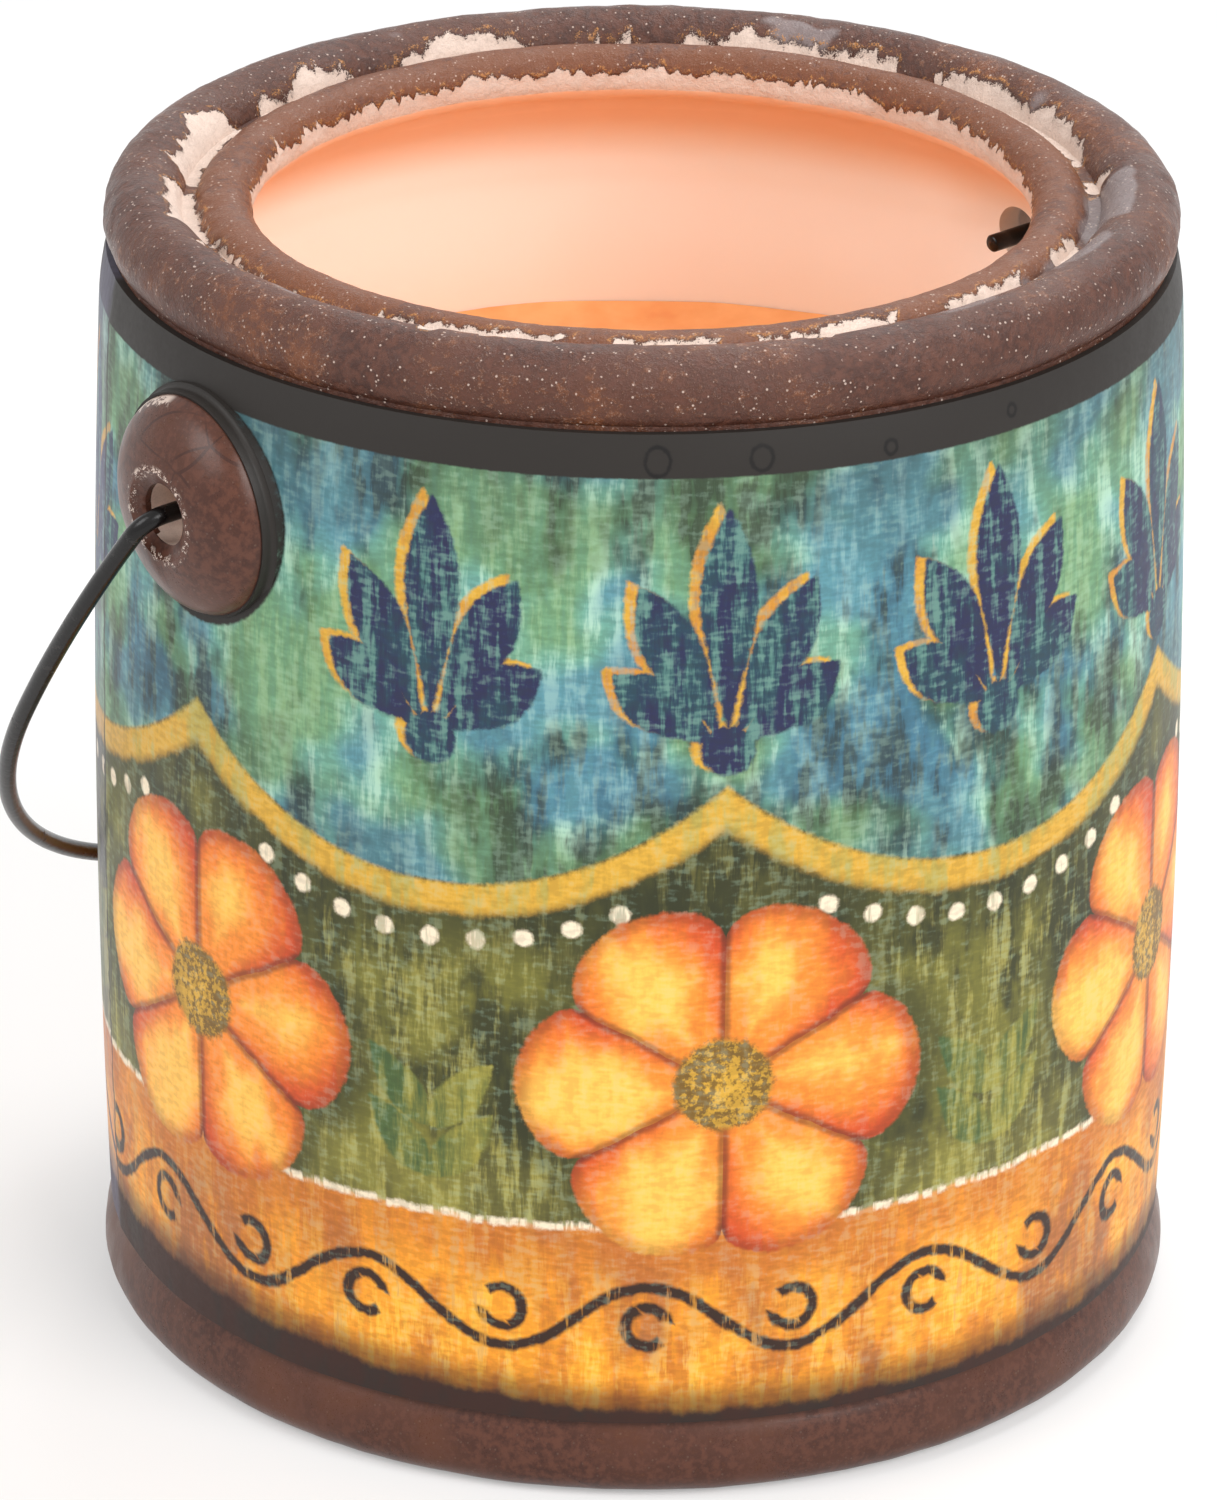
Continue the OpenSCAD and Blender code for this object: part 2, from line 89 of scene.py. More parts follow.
class CrockSizes(bpy.types.PropertyGroup):
    """Sizes of the slip-cast crock."""

    belly_d: length("Belly", "Diameter at the fullest point, over the print", 108)
    belly_z: length("Belly height", "Height of the fullest point", 46)
    side_bow: length("Side bow", "How far the side falls in up to the shoulder", 1.4)
    shoulder_z: length("Shoulder", "Height where the side starts to turn in", 104)
    notch_in: length("Notch", "How far the side turns in under the rim", 0.9)
    wrap_t: length("Wrap", "Room for the film and its inks", 0.8)
    wall: length("Wall", "Thickness of the side", 4.4)
    floor_t: length("Floor", "Thickness of the floor", 6)
    floor_round: length("Floor corner", "Radius of the corner inside", 6)
    foot_h: length("Foot", "Height of the foot band", 8)
    foot_round: length("Foot edge", "Radius of the foot's lower edge", 3)
    foot_bulge: length("Foot bulge", "How far the foot stands out", 1.4)
    foot_ring: length("Foot ring", "Width of the ring that the crock stands on", 5)
    foot_hollow: length("Foot hollow", "Height of the hollow under the floor", 1.6)
    jar_h: length("Height", "Height of the rim's crest", 116.4)
    roll_r: length("Roll", "Radius of the rim's outer roll", 3.9)
    roll_in: length("Roll inset", "How far the roll stays inside the belly", 2.1)
    mouth_d: length("Mouth", "Clear diameter of the mouth", 75)
    lip_r: length("Lip", "Radius of the lip round the mouth", 2.9)
    lip_drop: length("Lip drop", "How far the lip lies below the roll's crest", 1.3)
    groove: length("Groove", "Depth of the groove below the lip's crest", 1.7)
    ceiling_h: length("Ceiling", "Height of the slope under the lip", 6)
    ear_z: length("Ear height", "Height of the bail's axis", 96.7)
    ear_slope: angle("Ear slope", "Slope of the line through both ears", 2)
    ear_d: length("Ear", "Diameter of an ear", 21.6)
    ear_out: length("Ear reach", "How far an ear stands out from the belly", 3.8)
    ear_round: length("Ear edge", "Radius of an ear's rounded edge", 3.4)
    ear_hole_d: length("Ear hole", "Diameter of the hole through an ear", 6)
    ear_lip: length("Hole lip", "Width of the worn lip round the hole", 1.4)
    ear_lip_depth: length("Hole lip depth", "Depth of the worn lip", 0.8)
    dimple_d: length("Dimple", "Diameter of the hollow behind an ear", 15)
    dimple_depth: length("Dimple depth", "Depth of the hollow behind an ear", 2)


class WrapSizes(bpy.types.PropertyGroup):
    """Sizes of the printed wrap and its pattern."""

    depth: length("Film depth", "Depth of the film's face below the room for inks", 0.1)
    film_gap: length("Film gap", "Gap between the film and the rim's roll", 0.4)
    collar_w: length("Collar", "Width of the film's collar round an ear", 0.8)
    collar_h: length("Collar height", "Height of the collar up the ear's side", 0.7)
    amber_z: length("Amber", "Height where the amber field starts", 10)
    line_z: length("Line", "Height of the pale line", 29)
    line_w: length("Line width", "Width of the pale line", 0.8)
    teal_z: length("Teal", "Height where the teal field starts at the tips", 75)
    border_z: length("Border", "Height where the dark top border starts", 105.4)
    swag_n: IntProperty(name="Swags", description="Number of swags and of blossoms", default=6, min=3)
    swag_drop: length("Swag drop", "Depth of a swag below its tips", 11)
    swag_edge: length("Swag edge", "Width of a swag's gold edge", 2.2)
    bloom_r: length("Blossom", "Outer radius of a blossom", 19.4)
    bloom_z: length("Blossom height", "Height of a blossom's middle", 44.5)
    petal_n: IntProperty(name="Petals", description="Number of petals in a blossom", default=6, min=3)
    palmette_h: length("Palmette", "Height of a palmette", 24)
    lobe_w: length("Lobe", "Width of one lobe of a palmette", 5.6)
    base_r: length("Palmette base", "Radius that the lobes grow from", 2.6)
    lobe_edge: length("Lobe edge", "Width of the gold edge beside a lobe", 1)
    palmette_gap: length("Palmette gap", "Gap between the swags and a palmette", 3.6)
    heart_r: length("Heart", "Radius of a blossom's heart", 4.8)
    leaf_l: length("Leaf", "Length of a leaf of the sprigs", 10)
    vine_w: length("Vine", "Width of the vine's stem", 1.1)
    vine_swing: length("Vine swing", "How far the vine swings", 3.6)
    seam: angle("Seam", "Azimuth of the film's lap", 156)
    tilt: length("Tilt", "How far the print's lower border rises on one side", 3.4)
    tilt_turn: angle("Tilt side", "Azimuth of the side where it rises", 141)


class CandleSizes(bpy.types.PropertyGroup):
    """Sizes of the wax, the wicks and the bail."""

    wax_z: length("Wax", "Height of the wax at the middle", 83.6)
    wax_creep: length("Creep", "How far the wax creeps up the wall", 0.9)
    wick_gap: length("Wick gap", "Distance between the wicks", 36)
    wick_d: length("Wick", "Diameter of a wick", 2.6)
    wick_out: length("Wick length", "Length of wick above the wax", 6.5)
    tab_d: length("Tab", "Diameter of a wick tab", 20)
    tab_t: length("Tab thickness", "Thickness of a wick tab", 0.6)
    neck_h: length("Neck", "Height of a wick tab's neck", 6)
    neck_wall: length("Neck wall", "Wall of a wick tab's neck", 0.6)
    wire_d: length("Wire", "Diameter of the coated wire", 1.8)
    bend_tuck: length("Bend tuck", "How far inside the ear the wire starts to bend", 0.8)
    bend_r: length("Bend", "Radius of that bend", 2.6)
    stub_in: length("Stub", "Length of wire that shows inside the wall", 2.4)
    leg_lean: angle("Leg lean", "Lean of a leg at both its ends", 6)
    leg_r: length("Leg curve", "Radius of a leg's gentle curve", 155)
    rest_gap: length("Rest gap", "Gap between the hanging wire and the crock", 0.3)


class CandleColours(bpy.types.PropertyGroup):
    """Colours of the finishes."""

    glaze: colour("Glaze", "Brown glaze", "#5a3629")
    glaze_dark: colour("Dark glaze", "Brown glaze where it lies thick", "#391f18")
    glaze_warm: colour("Warm glaze", "Brown glaze where it is thin", "#784629")
    glaze_dust: colour("Dust", "Pale dust on the glaze", "#c9b3a6")
    # Painted reflection: a grey sheen painted on the rim where the glaze is glossy
    glaze_painted_sheen: colour("Slick", "Grey sheen where the glaze ran thin", "#8a7d7c")
    crumb: colour("Crumb", "Golden crumbs at the chips", "#b97f45")
    bisque: colour("Bisque", "Bare body where the glaze is gone", "#dfc9bb")
    inside: colour("Inside", "Peach wall inside", "#f8ebdf")
    # Painted glow: the wax's orange light on the wall inside, painted deeper near the wax
    inside_wax_glow: colour("Deep inside", "Peach wall inside near the wax", "#f3dcc6")
    film: colour("Film", "Dark grey border of the film", "#272320")
    teal: colour("Teal", "Body of the teal field", "#6ba18f")
    teal_pale: colour("Pale teal", "Worn teal", "#b2d6bf")
    teal_deep: colour("Deep teal", "Shaded teal", "#234752")
    teal_murk: colour("Murky teal", "Darkest blots in the teal field", "#262b26")
    blue: colour("Blue", "Blue patches in the teal field", "#4a7f9c")
    moss: colour("Moss", "Green patches in the teal field", "#6c8f4c")
    green: colour("Green", "Body of the green field", "#73702f")
    green_deep: colour("Deep green", "Shaded green", "#2c2f1a")
    green_pale: colour("Pale green", "Worn green", "#a39a4c")
    amber: colour("Amber", "Body of the amber field", "#f9a12a")
    amber_burnt: colour("Burnt amber", "Shaded amber", "#c06c26")
    amber_pale: colour("Pale amber", "Lit amber", "#ffc444")
    amber_ash: colour("Ash", "Grey smudges on the amber", "#775c4c")
    cream: colour("Cream", "Pale line and dots", "#eddcc0")
    gold: colour("Gold", "Gold edges", "#d2a238")
    navy: colour("Navy", "Palmettes", "#25284c")
    petal: colour("Petal", "Body of the petals", "#f18a2c")
    petal_pale: colour("Pale petal", "Lit part of the petals", "#ffbf52")
    petal_red: colour("Red petal", "Edge of the petals", "#c8441e")
    leaf: colour("Leaf", "Leaves", "#3c5a34")
    leaf_pale: colour("Pale leaf", "Lit side of the leaves", "#9c9440")
    umber: colour("Umber", "Vine", "#35201a")
    # Painted reflection: a pale mauve strip near the film's lap
    mauve_painted_reflection: colour("Mauve", "Faded strip at the film's lap", "#8d8aa6")
    wax: colour("Wax", "Orange wax", "#efa565")
    cotton: colour("Cotton", "Waxed cotton", "#ece4d4")
    tin: colour("Tin", "Tinned steel", "#b9bcc0")
    wire: colour("Wire", "Black coat of the wire", "#0d0b0b")
    floor: colour("Floor", "Pale floor", "#f4f3f2")


def arc(cx, cy, r, start, end, steps):
    """Points on an arc about (cx, cy), from one angle in degrees to another."""
    turns = [math.radians(start + (end - start) * i / steps) for i in range(steps + 1)]
    return [(cx + r * math.cos(t), cy + r * math.sin(t)) for t in turns]


def even(points, gap):
    """The same line with points added, so that no two lie further apart than the gap."""
    line = [points[0]]
    for a, b in zip(points, points[1:]):
        steps = max(1, math.ceil(math.dist(a, b) / gap))
        line += [(a[0] + (b[0] - a[0]) * i / steps, a[1] + (b[1] - a[1]) * i / steps) for i in range(1, steps + 1)]
    return line


def round_turns(columns, start=0.0):
    """Evenly spaced angles once round."""
    return [start + 2 * math.pi * i / columns for i in range(columns)]


def new_piece(name, verts, faces):
    """An object with that mesh, linked to the scene."""
    mesh = bpy.data.meshes.new(name)
    mesh.from_pydata(verts, [], faces)
    mesh.update()
    piece = bpy.data.objects.new(name, mesh)
    bpy.context.scene.collection.objects.link(piece)
    return piece


def revolve(name, section, turns, closed=False, place=None):
    """A section of (radius, height) points turned round Z. An open section starts and ends on the axis, and a closed
    one comes back to its first point. It runs with the solid on its left."""
    place = place or Matrix.Identity(4)
    verts, rings = [], []
    for r, z in section:
        if r < 1e-9:
            rings.append([len(verts)] * len(turns))
            verts.append(place @ Vector((0, 0, z)))
        else:
            rings.append(list(range(len(verts), len(verts) + len(turns))))
            verts += [place @ Vector((r * math.cos(t), r * math.sin(t), z)) for t in turns]
    pairs = list(zip(rings, rings[1:] + rings[:1])) if closed else list(zip(rings, rings[1:]))
    faces = []
    for low, high in pairs:
        for i in range(len(turns)):
            k = (i + 1) % len(turns)
            face = []
            for v in (low[i], low[k], high[k], high[i]):
                if v not in face:
                    face.append(v)
            if len(face) > 2:
                faces.append(face)
    return new_piece(name, verts, faces)


def tube(name, rings):
    """A tube with closed ends through rings of points. Seen from its end, the rings turn to the left."""
    columns = len(rings[0])
    verts = [point for ring in rings for point in ring]
    faces = [tuple(reversed(range(columns))), tuple(range(len(verts) - columns, len(verts)))]
    for low in range(0, len(verts) - columns, columns):
        for i in range(columns):
            n = (i + 1) % columns
            faces.append((low + i, low + n, low + columns + n, low + columns + i))
    return new_piece(name, verts, faces)


def carve(piece, operation, tools):
    """Joins tools to a piece or cuts them from it, one after another, and removes them."""
    for tool in tools:
        change = piece.modifiers.new(tool.name, "BOOLEAN")
        change.operation = operation
        change.solver = "MANIFOLD"
        change.object = tool
        bpy.context.view_layer.update()
        shape = piece.evaluated_get(bpy.context.evaluated_depsgraph_get())
        mesh = bpy.data.meshes.new_from_object(shape)
        if not mesh.polygons:
            raise RuntimeError(f"{piece.name}: nothing is left after {tool.name}")
        piece.modifiers.clear()
        old, piece.data = piece.data, mesh
        bpy.data.meshes.remove(old)
        bpy.data.objects.remove(tool)
    return piece


def push_out(piece, by):
    """Moves each vertex along its normal by what by(place) gives."""
    moves = [by(v.co) for v in piece.data.vertices]
    normals = [v.normal.copy() for v in piece.data.vertices]
    for v, n, move in zip(piece.data.vertices, normals, moves):
        v.co += n * move


def write_attribute(piece, name, value):
    """Keeps value(place) at each vertex for the materials to read."""
    made = piece.data.attributes.new(name, "FLOAT", "POINT")
    made.data.foreach_set("value", [value(v.co) for v in piece.data.vertices])


def dress(piece, material, body, nodes, crease=35):
    """Smooths a finished piece, gives it its material, ties it to its body, and hides the nodes that it stands for."""
    piece.data.materials.clear()
    piece.data.materials.append(material)
    piece.data.shade_smooth()
    piece.data.set_sharp_from_angle(angle=math.radians(crease))
    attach(piece, body)
    if nodes:
        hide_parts(*nodes)
    return piece


class Crock:
    """Forms of the crock that several pieces share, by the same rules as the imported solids."""

    late_turn = 0.7
    ear_edge_a = 68
    shown_z = 80 * MM

    def __init__(self, s):
        self.s = s
        self.belly_r = s.belly_d / 2
        self.roll_c = self.belly_r - s.roll_in - s.roll_r
        self.roll_z = s.jar_h - s.roll_r
        self.lip_c = s.mouth_d / 2 + s.lip_r
        self.lip_z = s.jar_h - s.lip_drop - s.lip_r
        self.groove_z = self.lip_z + s.lip_r - s.groove
        self.groove_r = (self.lip_c + s.lip_r + self.roll_c - s.roll_r) / 2
        self.ceiling_z = self.lip_z - s.lip_r - s.ceiling_h
        self.notch_r = self.belly_r - s.side_bow - s.notch_in
        self.notch_z = self.roll_z - math.sqrt(s.roll_r**2 - (self.notch_r - s.wrap_t - self.roll_c) ** 2)
        self.bow_r = ((s.shoulder_z - s.belly_z) ** 2 + s.side_bow**2) / (2 * s.side_bow)
        self.ear_r = s.ear_d / 2
        self.ear_face = self.belly_r + s.ear_out
        edge_a = math.radians(self.ear_edge_a)
        self.ear_edge_r = self.ear_r - s.ear_round
        self.ear_lip_r = s.ear_hole_d / 2 + s.ear_lip
        fall = (self.ear_edge_r + s.ear_round * math.cos(edge_a) - self.ear_lip_r) / math.tan(edge_a)
        self.ear_edge_x = self.ear_face - fall - s.ear_round * math.sin(edge_a)

    def skin_r(self, z):
        """Radius of the side over the print, at a height."""
        s = self.s
        if z <= s.shoulder_z:
            return self.belly_r - self.bow_r + math.sqrt(self.bow_r**2 - (z - s.belly_z) ** 2)
        part = (z - s.shoulder_z) / (self.notch_z - s.shoulder_z)
        return self.belly_r - s.side_bow - s.notch_in * ((1 - self.late_turn) * part + self.late_turn * part**2)

    def jar_r(self, z):
        """Radius of the ceramic side."""
        return self.skin_r(z) - self.s.wrap_t

    def cavity_r(self, z):
        """Radius of the wall inside."""
        return self.jar_r(max(z, self.s.foot_h)) - self.s.wall

    @staticmethod
    def heights(low, high, steps):
        """Evenly spaced heights, both ends included."""
        return [low + (high - low) * i / steps for i in range(steps + 1)]

    def at_ear(self, turn):
        """Where an ear stands: its Z runs out of the crock."""
        return (
            Matrix.Translation((0, 0, self.s.ear_z))
            @ Matrix.Rotation(-self.s.ear_slope, 4, "Y")
            @ Matrix.Rotation(turn, 4, "Z")
            @ Matrix.Rotation(math.pi / 2, 4, "Y")
        )

    def section(self):
        """Outline of the crock's wall, from the middle underneath, up the outside and down the inside."""
        s = self.s
        rim_gap, wall_gap = 0.4 * MM, 1.2 * MM
        foot_r = self.jar_r(s.foot_h) + s.foot_bulge
        ring_r = foot_r - s.foot_round
        hollow_r = ring_r - s.foot_ring
        rise = s.foot_h - s.foot_round
        crown_r = (rise**2 + s.foot_bulge**2) / (2 * s.foot_bulge)
        crown_a = math.degrees(math.asin(rise / crown_r))
        under = [(0, s.foot_hollow), (hollow_r - s.foot_hollow, s.foot_hollow), (hollow_r, 0), (ring_r, 0)]
        foot = arc(ring_r, s.foot_round, s.foot_round, -90, 0, 10)[1:]
        foot += arc(foot_r - crown_r, s.foot_round, crown_r, 0, crown_a, 6)[1:]
        side = [(self.jar_r(z), z) for z in self.heights(s.foot_h, self.notch_z, 12)]
        start = math.degrees(math.atan2(self.notch_z - self.roll_z, side[-1][0] - self.roll_c))
        end = 180 - math.degrees(math.asin((self.groove_z - self.roll_z) / s.roll_r))
        roll = arc(self.roll_c, self.roll_z, s.roll_r, start, end, 48)
        lip_start = math.degrees(math.asin((self.groove_z - self.lip_z) / s.lip_r))
        lip = arc(self.lip_c, self.lip_z, s.lip_r, lip_start, 270, 32)
        corner_z = s.floor_t + s.floor_round
        wall_r, soft = self.cavity_r(self.ceiling_z), 8 * MM
        slope_a = math.degrees(math.atan2(s.ceiling_h, wall_r - self.lip_c))
        reach = soft * math.tan(math.radians(45 - slope_a / 2))
        turned = arc(wall_r - soft, self.ceiling_z - reach, soft, 90 - slope_a, 0, 8)
        inner = [(self.cavity_r(z), z) for z in self.heights(turned[-1][1], self.shown_z, 12)[1:]]
        buried = [(self.cavity_r(z), z) for z in self.heights(self.shown_z, corner_z, 6)[1:]]
        corner = arc(buried[-1][0] - s.floor_round, corner_z, s.floor_round, 0, -90, 8)[1:]
        floor = [(0, s.floor_t)]
        rim = even(roll + lip, rim_gap)
        wall = even([rim[-1]] + turned + inner, wall_gap)[1:] + buried
        return even(under, 8 * MM) + foot + side[1:-1] + rim + wall + corner + floor

    def ear(self, turn):
        """One ear, from inside the wall to its domed face."""
        s = self.s
        root = self.cavity_r(s.ear_z) + 1 * MM
        shoulder_a = 50
        edge = arc(self.ear_edge_r, self.ear_edge_x, s.ear_round, 0, shoulder_a, 8)
        start, end = Vector(edge[-1]), Vector((self.ear_lip_r, self.ear_face))
        steep, flat = math.tan(math.radians(90 - shoulder_a)), math.tan(math.radians(10))
        turn_x = (end.y - start.y + flat * end.x - steep * start.x) / (flat - steep)
        middle = Vector((turn_x, start.y + steep * (start.x - turn_x)))
        dome = [start * (1 - t) ** 2 + middle * 2 * t * (1 - t) + end * t**2 for t in (i / 10 for i in range(1, 11))]
        line = [(0, root), (self.ear_r, root), *edge, *(tuple(p) for p in dome), (0, self.ear_face)]
        return revolve(f"ear_{turn:.0f}", even(line, 0.5 * MM), round_turns(EAR_COLUMNS), place=self.at_ear(turn))

    def ear_tools(self, turn):
        """What is cut out at an ear: its hole and the worn lip round it."""
        s = self.s
        place = self.at_ear(turn)
        hole_r = s.ear_hole_d / 2
        root = self.cavity_r(s.ear_z) + 1 * MM - s.wall
        top = self.ear_face + 2 * MM
        hole = even([(0, root), (hole_r, root), (hole_r, top), (0, top)], 0.8 * MM)
        depth = self.ear_face - s.ear_lip_depth
        spread = hole_r + s.ear_lip * 1.5
        worn = [(0, depth), (hole_r, depth), (spread, depth + s.ear_lip_depth * 1.5)]
        worn.append((0, worn[-1][1]))
        turns = round_turns(HOLE_COLUMNS)
        return [
            revolve("hole", hole, turns, place=place),
            revolve("worn", even(worn, 0.5 * MM), turns, place=place),
        ]

    def from_ear(self, co):
        """Distance of a point from the line through both ears."""
        slope = self.s.ear_slope
        return math.hypot(co.y, (co.z - self.s.ear_z) * math.cos(slope) - co.x * math.sin(slope))

    def press_hollows(self, piece):
        """The soft hollows in the wall behind the ears, which run into the wall without an edge."""
        s = self.s
        wide = s.dimple_d / 2 + 2 * MM
        for v in piece.data.vertices:
            away = self.from_ear(v.co)
            if away < wide and math.hypot(v.co.x, v.co.y) < self.cavity_r(s.ear_z) + s.wall / 3:
                v.co.x += math.copysign(s.dimple_depth * (0.5 + 0.5 * math.cos(math.pi * away / wide)), v.co.x)


def sizes():
    """The sizes set in the scene: crock, wrap and candle."""
    scene = bpy.context.scene
    return scene.crock_sizes, scene.wrap_sizes, scene.candle_sizes


class Wire:
    """A number or a vector in a material's graph. Arithmetic on it adds math nodes."""

    def __init__(self, graph, socket):
        self.graph, self.socket = graph, socket

    def calc(self, operation, *others):
        """This number and others through one math node."""
        return self.graph.math(operation, self, *others)

    def __add__(self, other):
        return self.calc("ADD", other)

    def __sub__(self, other):
        return self.calc("SUBTRACT", other)

    def __rsub__(self, other):
        return self.graph.math("SUBTRACT", other, self)

    def __mul__(self, other):
        return self.calc("MULTIPLY", other)

    __radd__, __rmul__ = __add__, __mul__

    def __truediv__(self, other):
        return self.calc("DIVIDE", other)

    def __neg__(self):
        return self.calc("MULTIPLY", -1.0)

    def __abs__(self):
        return self.calc("ABSOLUTE")

    def above(self, level, soft):
        """0 below a level and 1 above it, with a soft step of that width."""
        low, high = level - soft / 2, level + soft / 2
        node = self.graph.node("MapRange", [self, low, high, 0.0, 1.0], interpolation_type="SMOOTHSTEP")
        return Wire(self.graph, node.outputs[0])

    def at_most(self, other):
        return self.calc("MINIMUM", other)

    def at_least(self, other):
        return self.calc("MAXIMUM", other)

    def fold(self, period):
        """The number's distance from the nearest multiple of a period, with its sign."""
        return self.calc("WRAP", period / 2, -period / 2)


class Graph:
    """A material or a world, and what adds nodes to it."""

    def __init__(self, name, kind="materials"):
        self.made = getattr(bpy.data, kind).new(name)
        self.made.use_nodes = True
        self.tree = self.made.node_tree
        self.tree.nodes.clear()

    def node(self, kind, values=(), **settings):
        """A shader node, with its first inputs set or wired."""
        node = self.tree.nodes.new("ShaderNode" + kind)
        for key, value in settings.items():
            setattr(node, key, value)
        for socket, value in zip(node.inputs, values):
            self.feed(socket, value)
        return node

    def feed(self, socket, value):
        """Wires a value to a socket or sets it there."""
        if isinstance(value, Wire):
            self.tree.links.new(value.socket, socket)
        elif value is not None:
            whole = hasattr(value, "__len__")
            socket.default_value = (list(value) + [1.0])[: len(socket.default_value)] if whole else value

    def math(self, operation, *values):
        """Numbers and wires through one math node."""
        return Wire(self, self.node("Math", values, operation=operation).outputs[0])

    def place(self):
        """Where a point lies in the crock's own frame, in millimetres."""
        found = Wire(self, self.node("TexCoord").outputs["Object"])
        return self.stretch(found, (1000, 1000, 1000))

    def stretch(self, vector, by):
        """A vector with each part multiplied."""
        return Wire(self, self.node("VectorMath", [vector, by], operation="MULTIPLY").outputs[0])

    def split(self, vector):
        """The three parts of a vector."""
        return [Wire(self, socket) for socket in self.node("SeparateXYZ", [vector]).outputs]

    def attribute(self, name):
        """A number kept at the mesh's vertices."""
        return Wire(self, self.node("Attribute", attribute_name=name).outputs["Fac"])

    def noise(self, vector, scale, detail=3.0, roughness=0.5):
        """Cloudy noise, mostly from 0.3 to 0.7."""
        node = self.node("TexNoise")
        for key, value in (("Vector", vector), ("Scale", scale), ("Detail", detail), ("Roughness", roughness)):
            self.feed(node.inputs[key], value)
        return Wire(self, node.outputs[0])

    def cells(self, vector, scale, feature="F1"):
        """Distances in Voronoi cells."""
        node = self.node("TexVoronoi", feature=feature)
        for key, value in (("Vector", vector), ("Scale", scale)):
            self.feed(node.inputs[key], value)
        return Wire(self, node.outputs["Distance"])

    def mix(self, a, b, part):
        """One colour over another."""
        node = self.node("Mix", data_type="RGBA")
        self.feed(node.inputs[0], part)
        self.feed(node.inputs[6], a)
        self.feed(node.inputs[7], b)
        return Wire(self, node.outputs[2])

    def coats(self, base, *layers):
        """Colours over one another: each layer is a colour, and how much of it covers what lies below."""
        for layer, part in layers:
            base = self.mix(base, layer, part)
        return base

    def finish(self, base, roughness, bump, strength, depth, **fixed):
        """The shader: its colour, its roughness, its bump in millimetres and what is the same all over."""
        shader = self.node("BsdfPrincipled")
        self.feed(shader.inputs["Base Color"], base)
        self.feed(shader.inputs["Roughness"], roughness)
        for key, value in fixed.items():
            shader.inputs[key.replace("_", " ")].default_value = value
        relief = self.node("Bump")
        for key, value in (("Strength", strength), ("Distance", depth * MM), ("Height", bump)):
            self.feed(relief.inputs[key], value)
        self.tree.links.new(relief.outputs[0], shader.inputs["Normal"])
        return self.close(shader)

    def close(self, shader, output="OutputMaterial"):
        """The material or the world, with that shader on its surface."""
        self.tree.links.new(shader.outputs[0], self.node(output).inputs["Surface"])
        return self.made

    def seen(self):
        """1 where a ray shows the picture, straight, mirrored or through a thing, and 0 where it only lights."""
        rays = self.node("LightPath").outputs
        camera, glossy, through = (Wire(self, rays[f"Is {kind} Ray"]) for kind in ("Camera", "Glossy", "Transmission"))
        return (camera + glossy + through).at_most(1.0)


def span(x, y):
    """Length of the line across two numbers of a material's graph."""
    return (x * x + y * y).calc("SQRT")


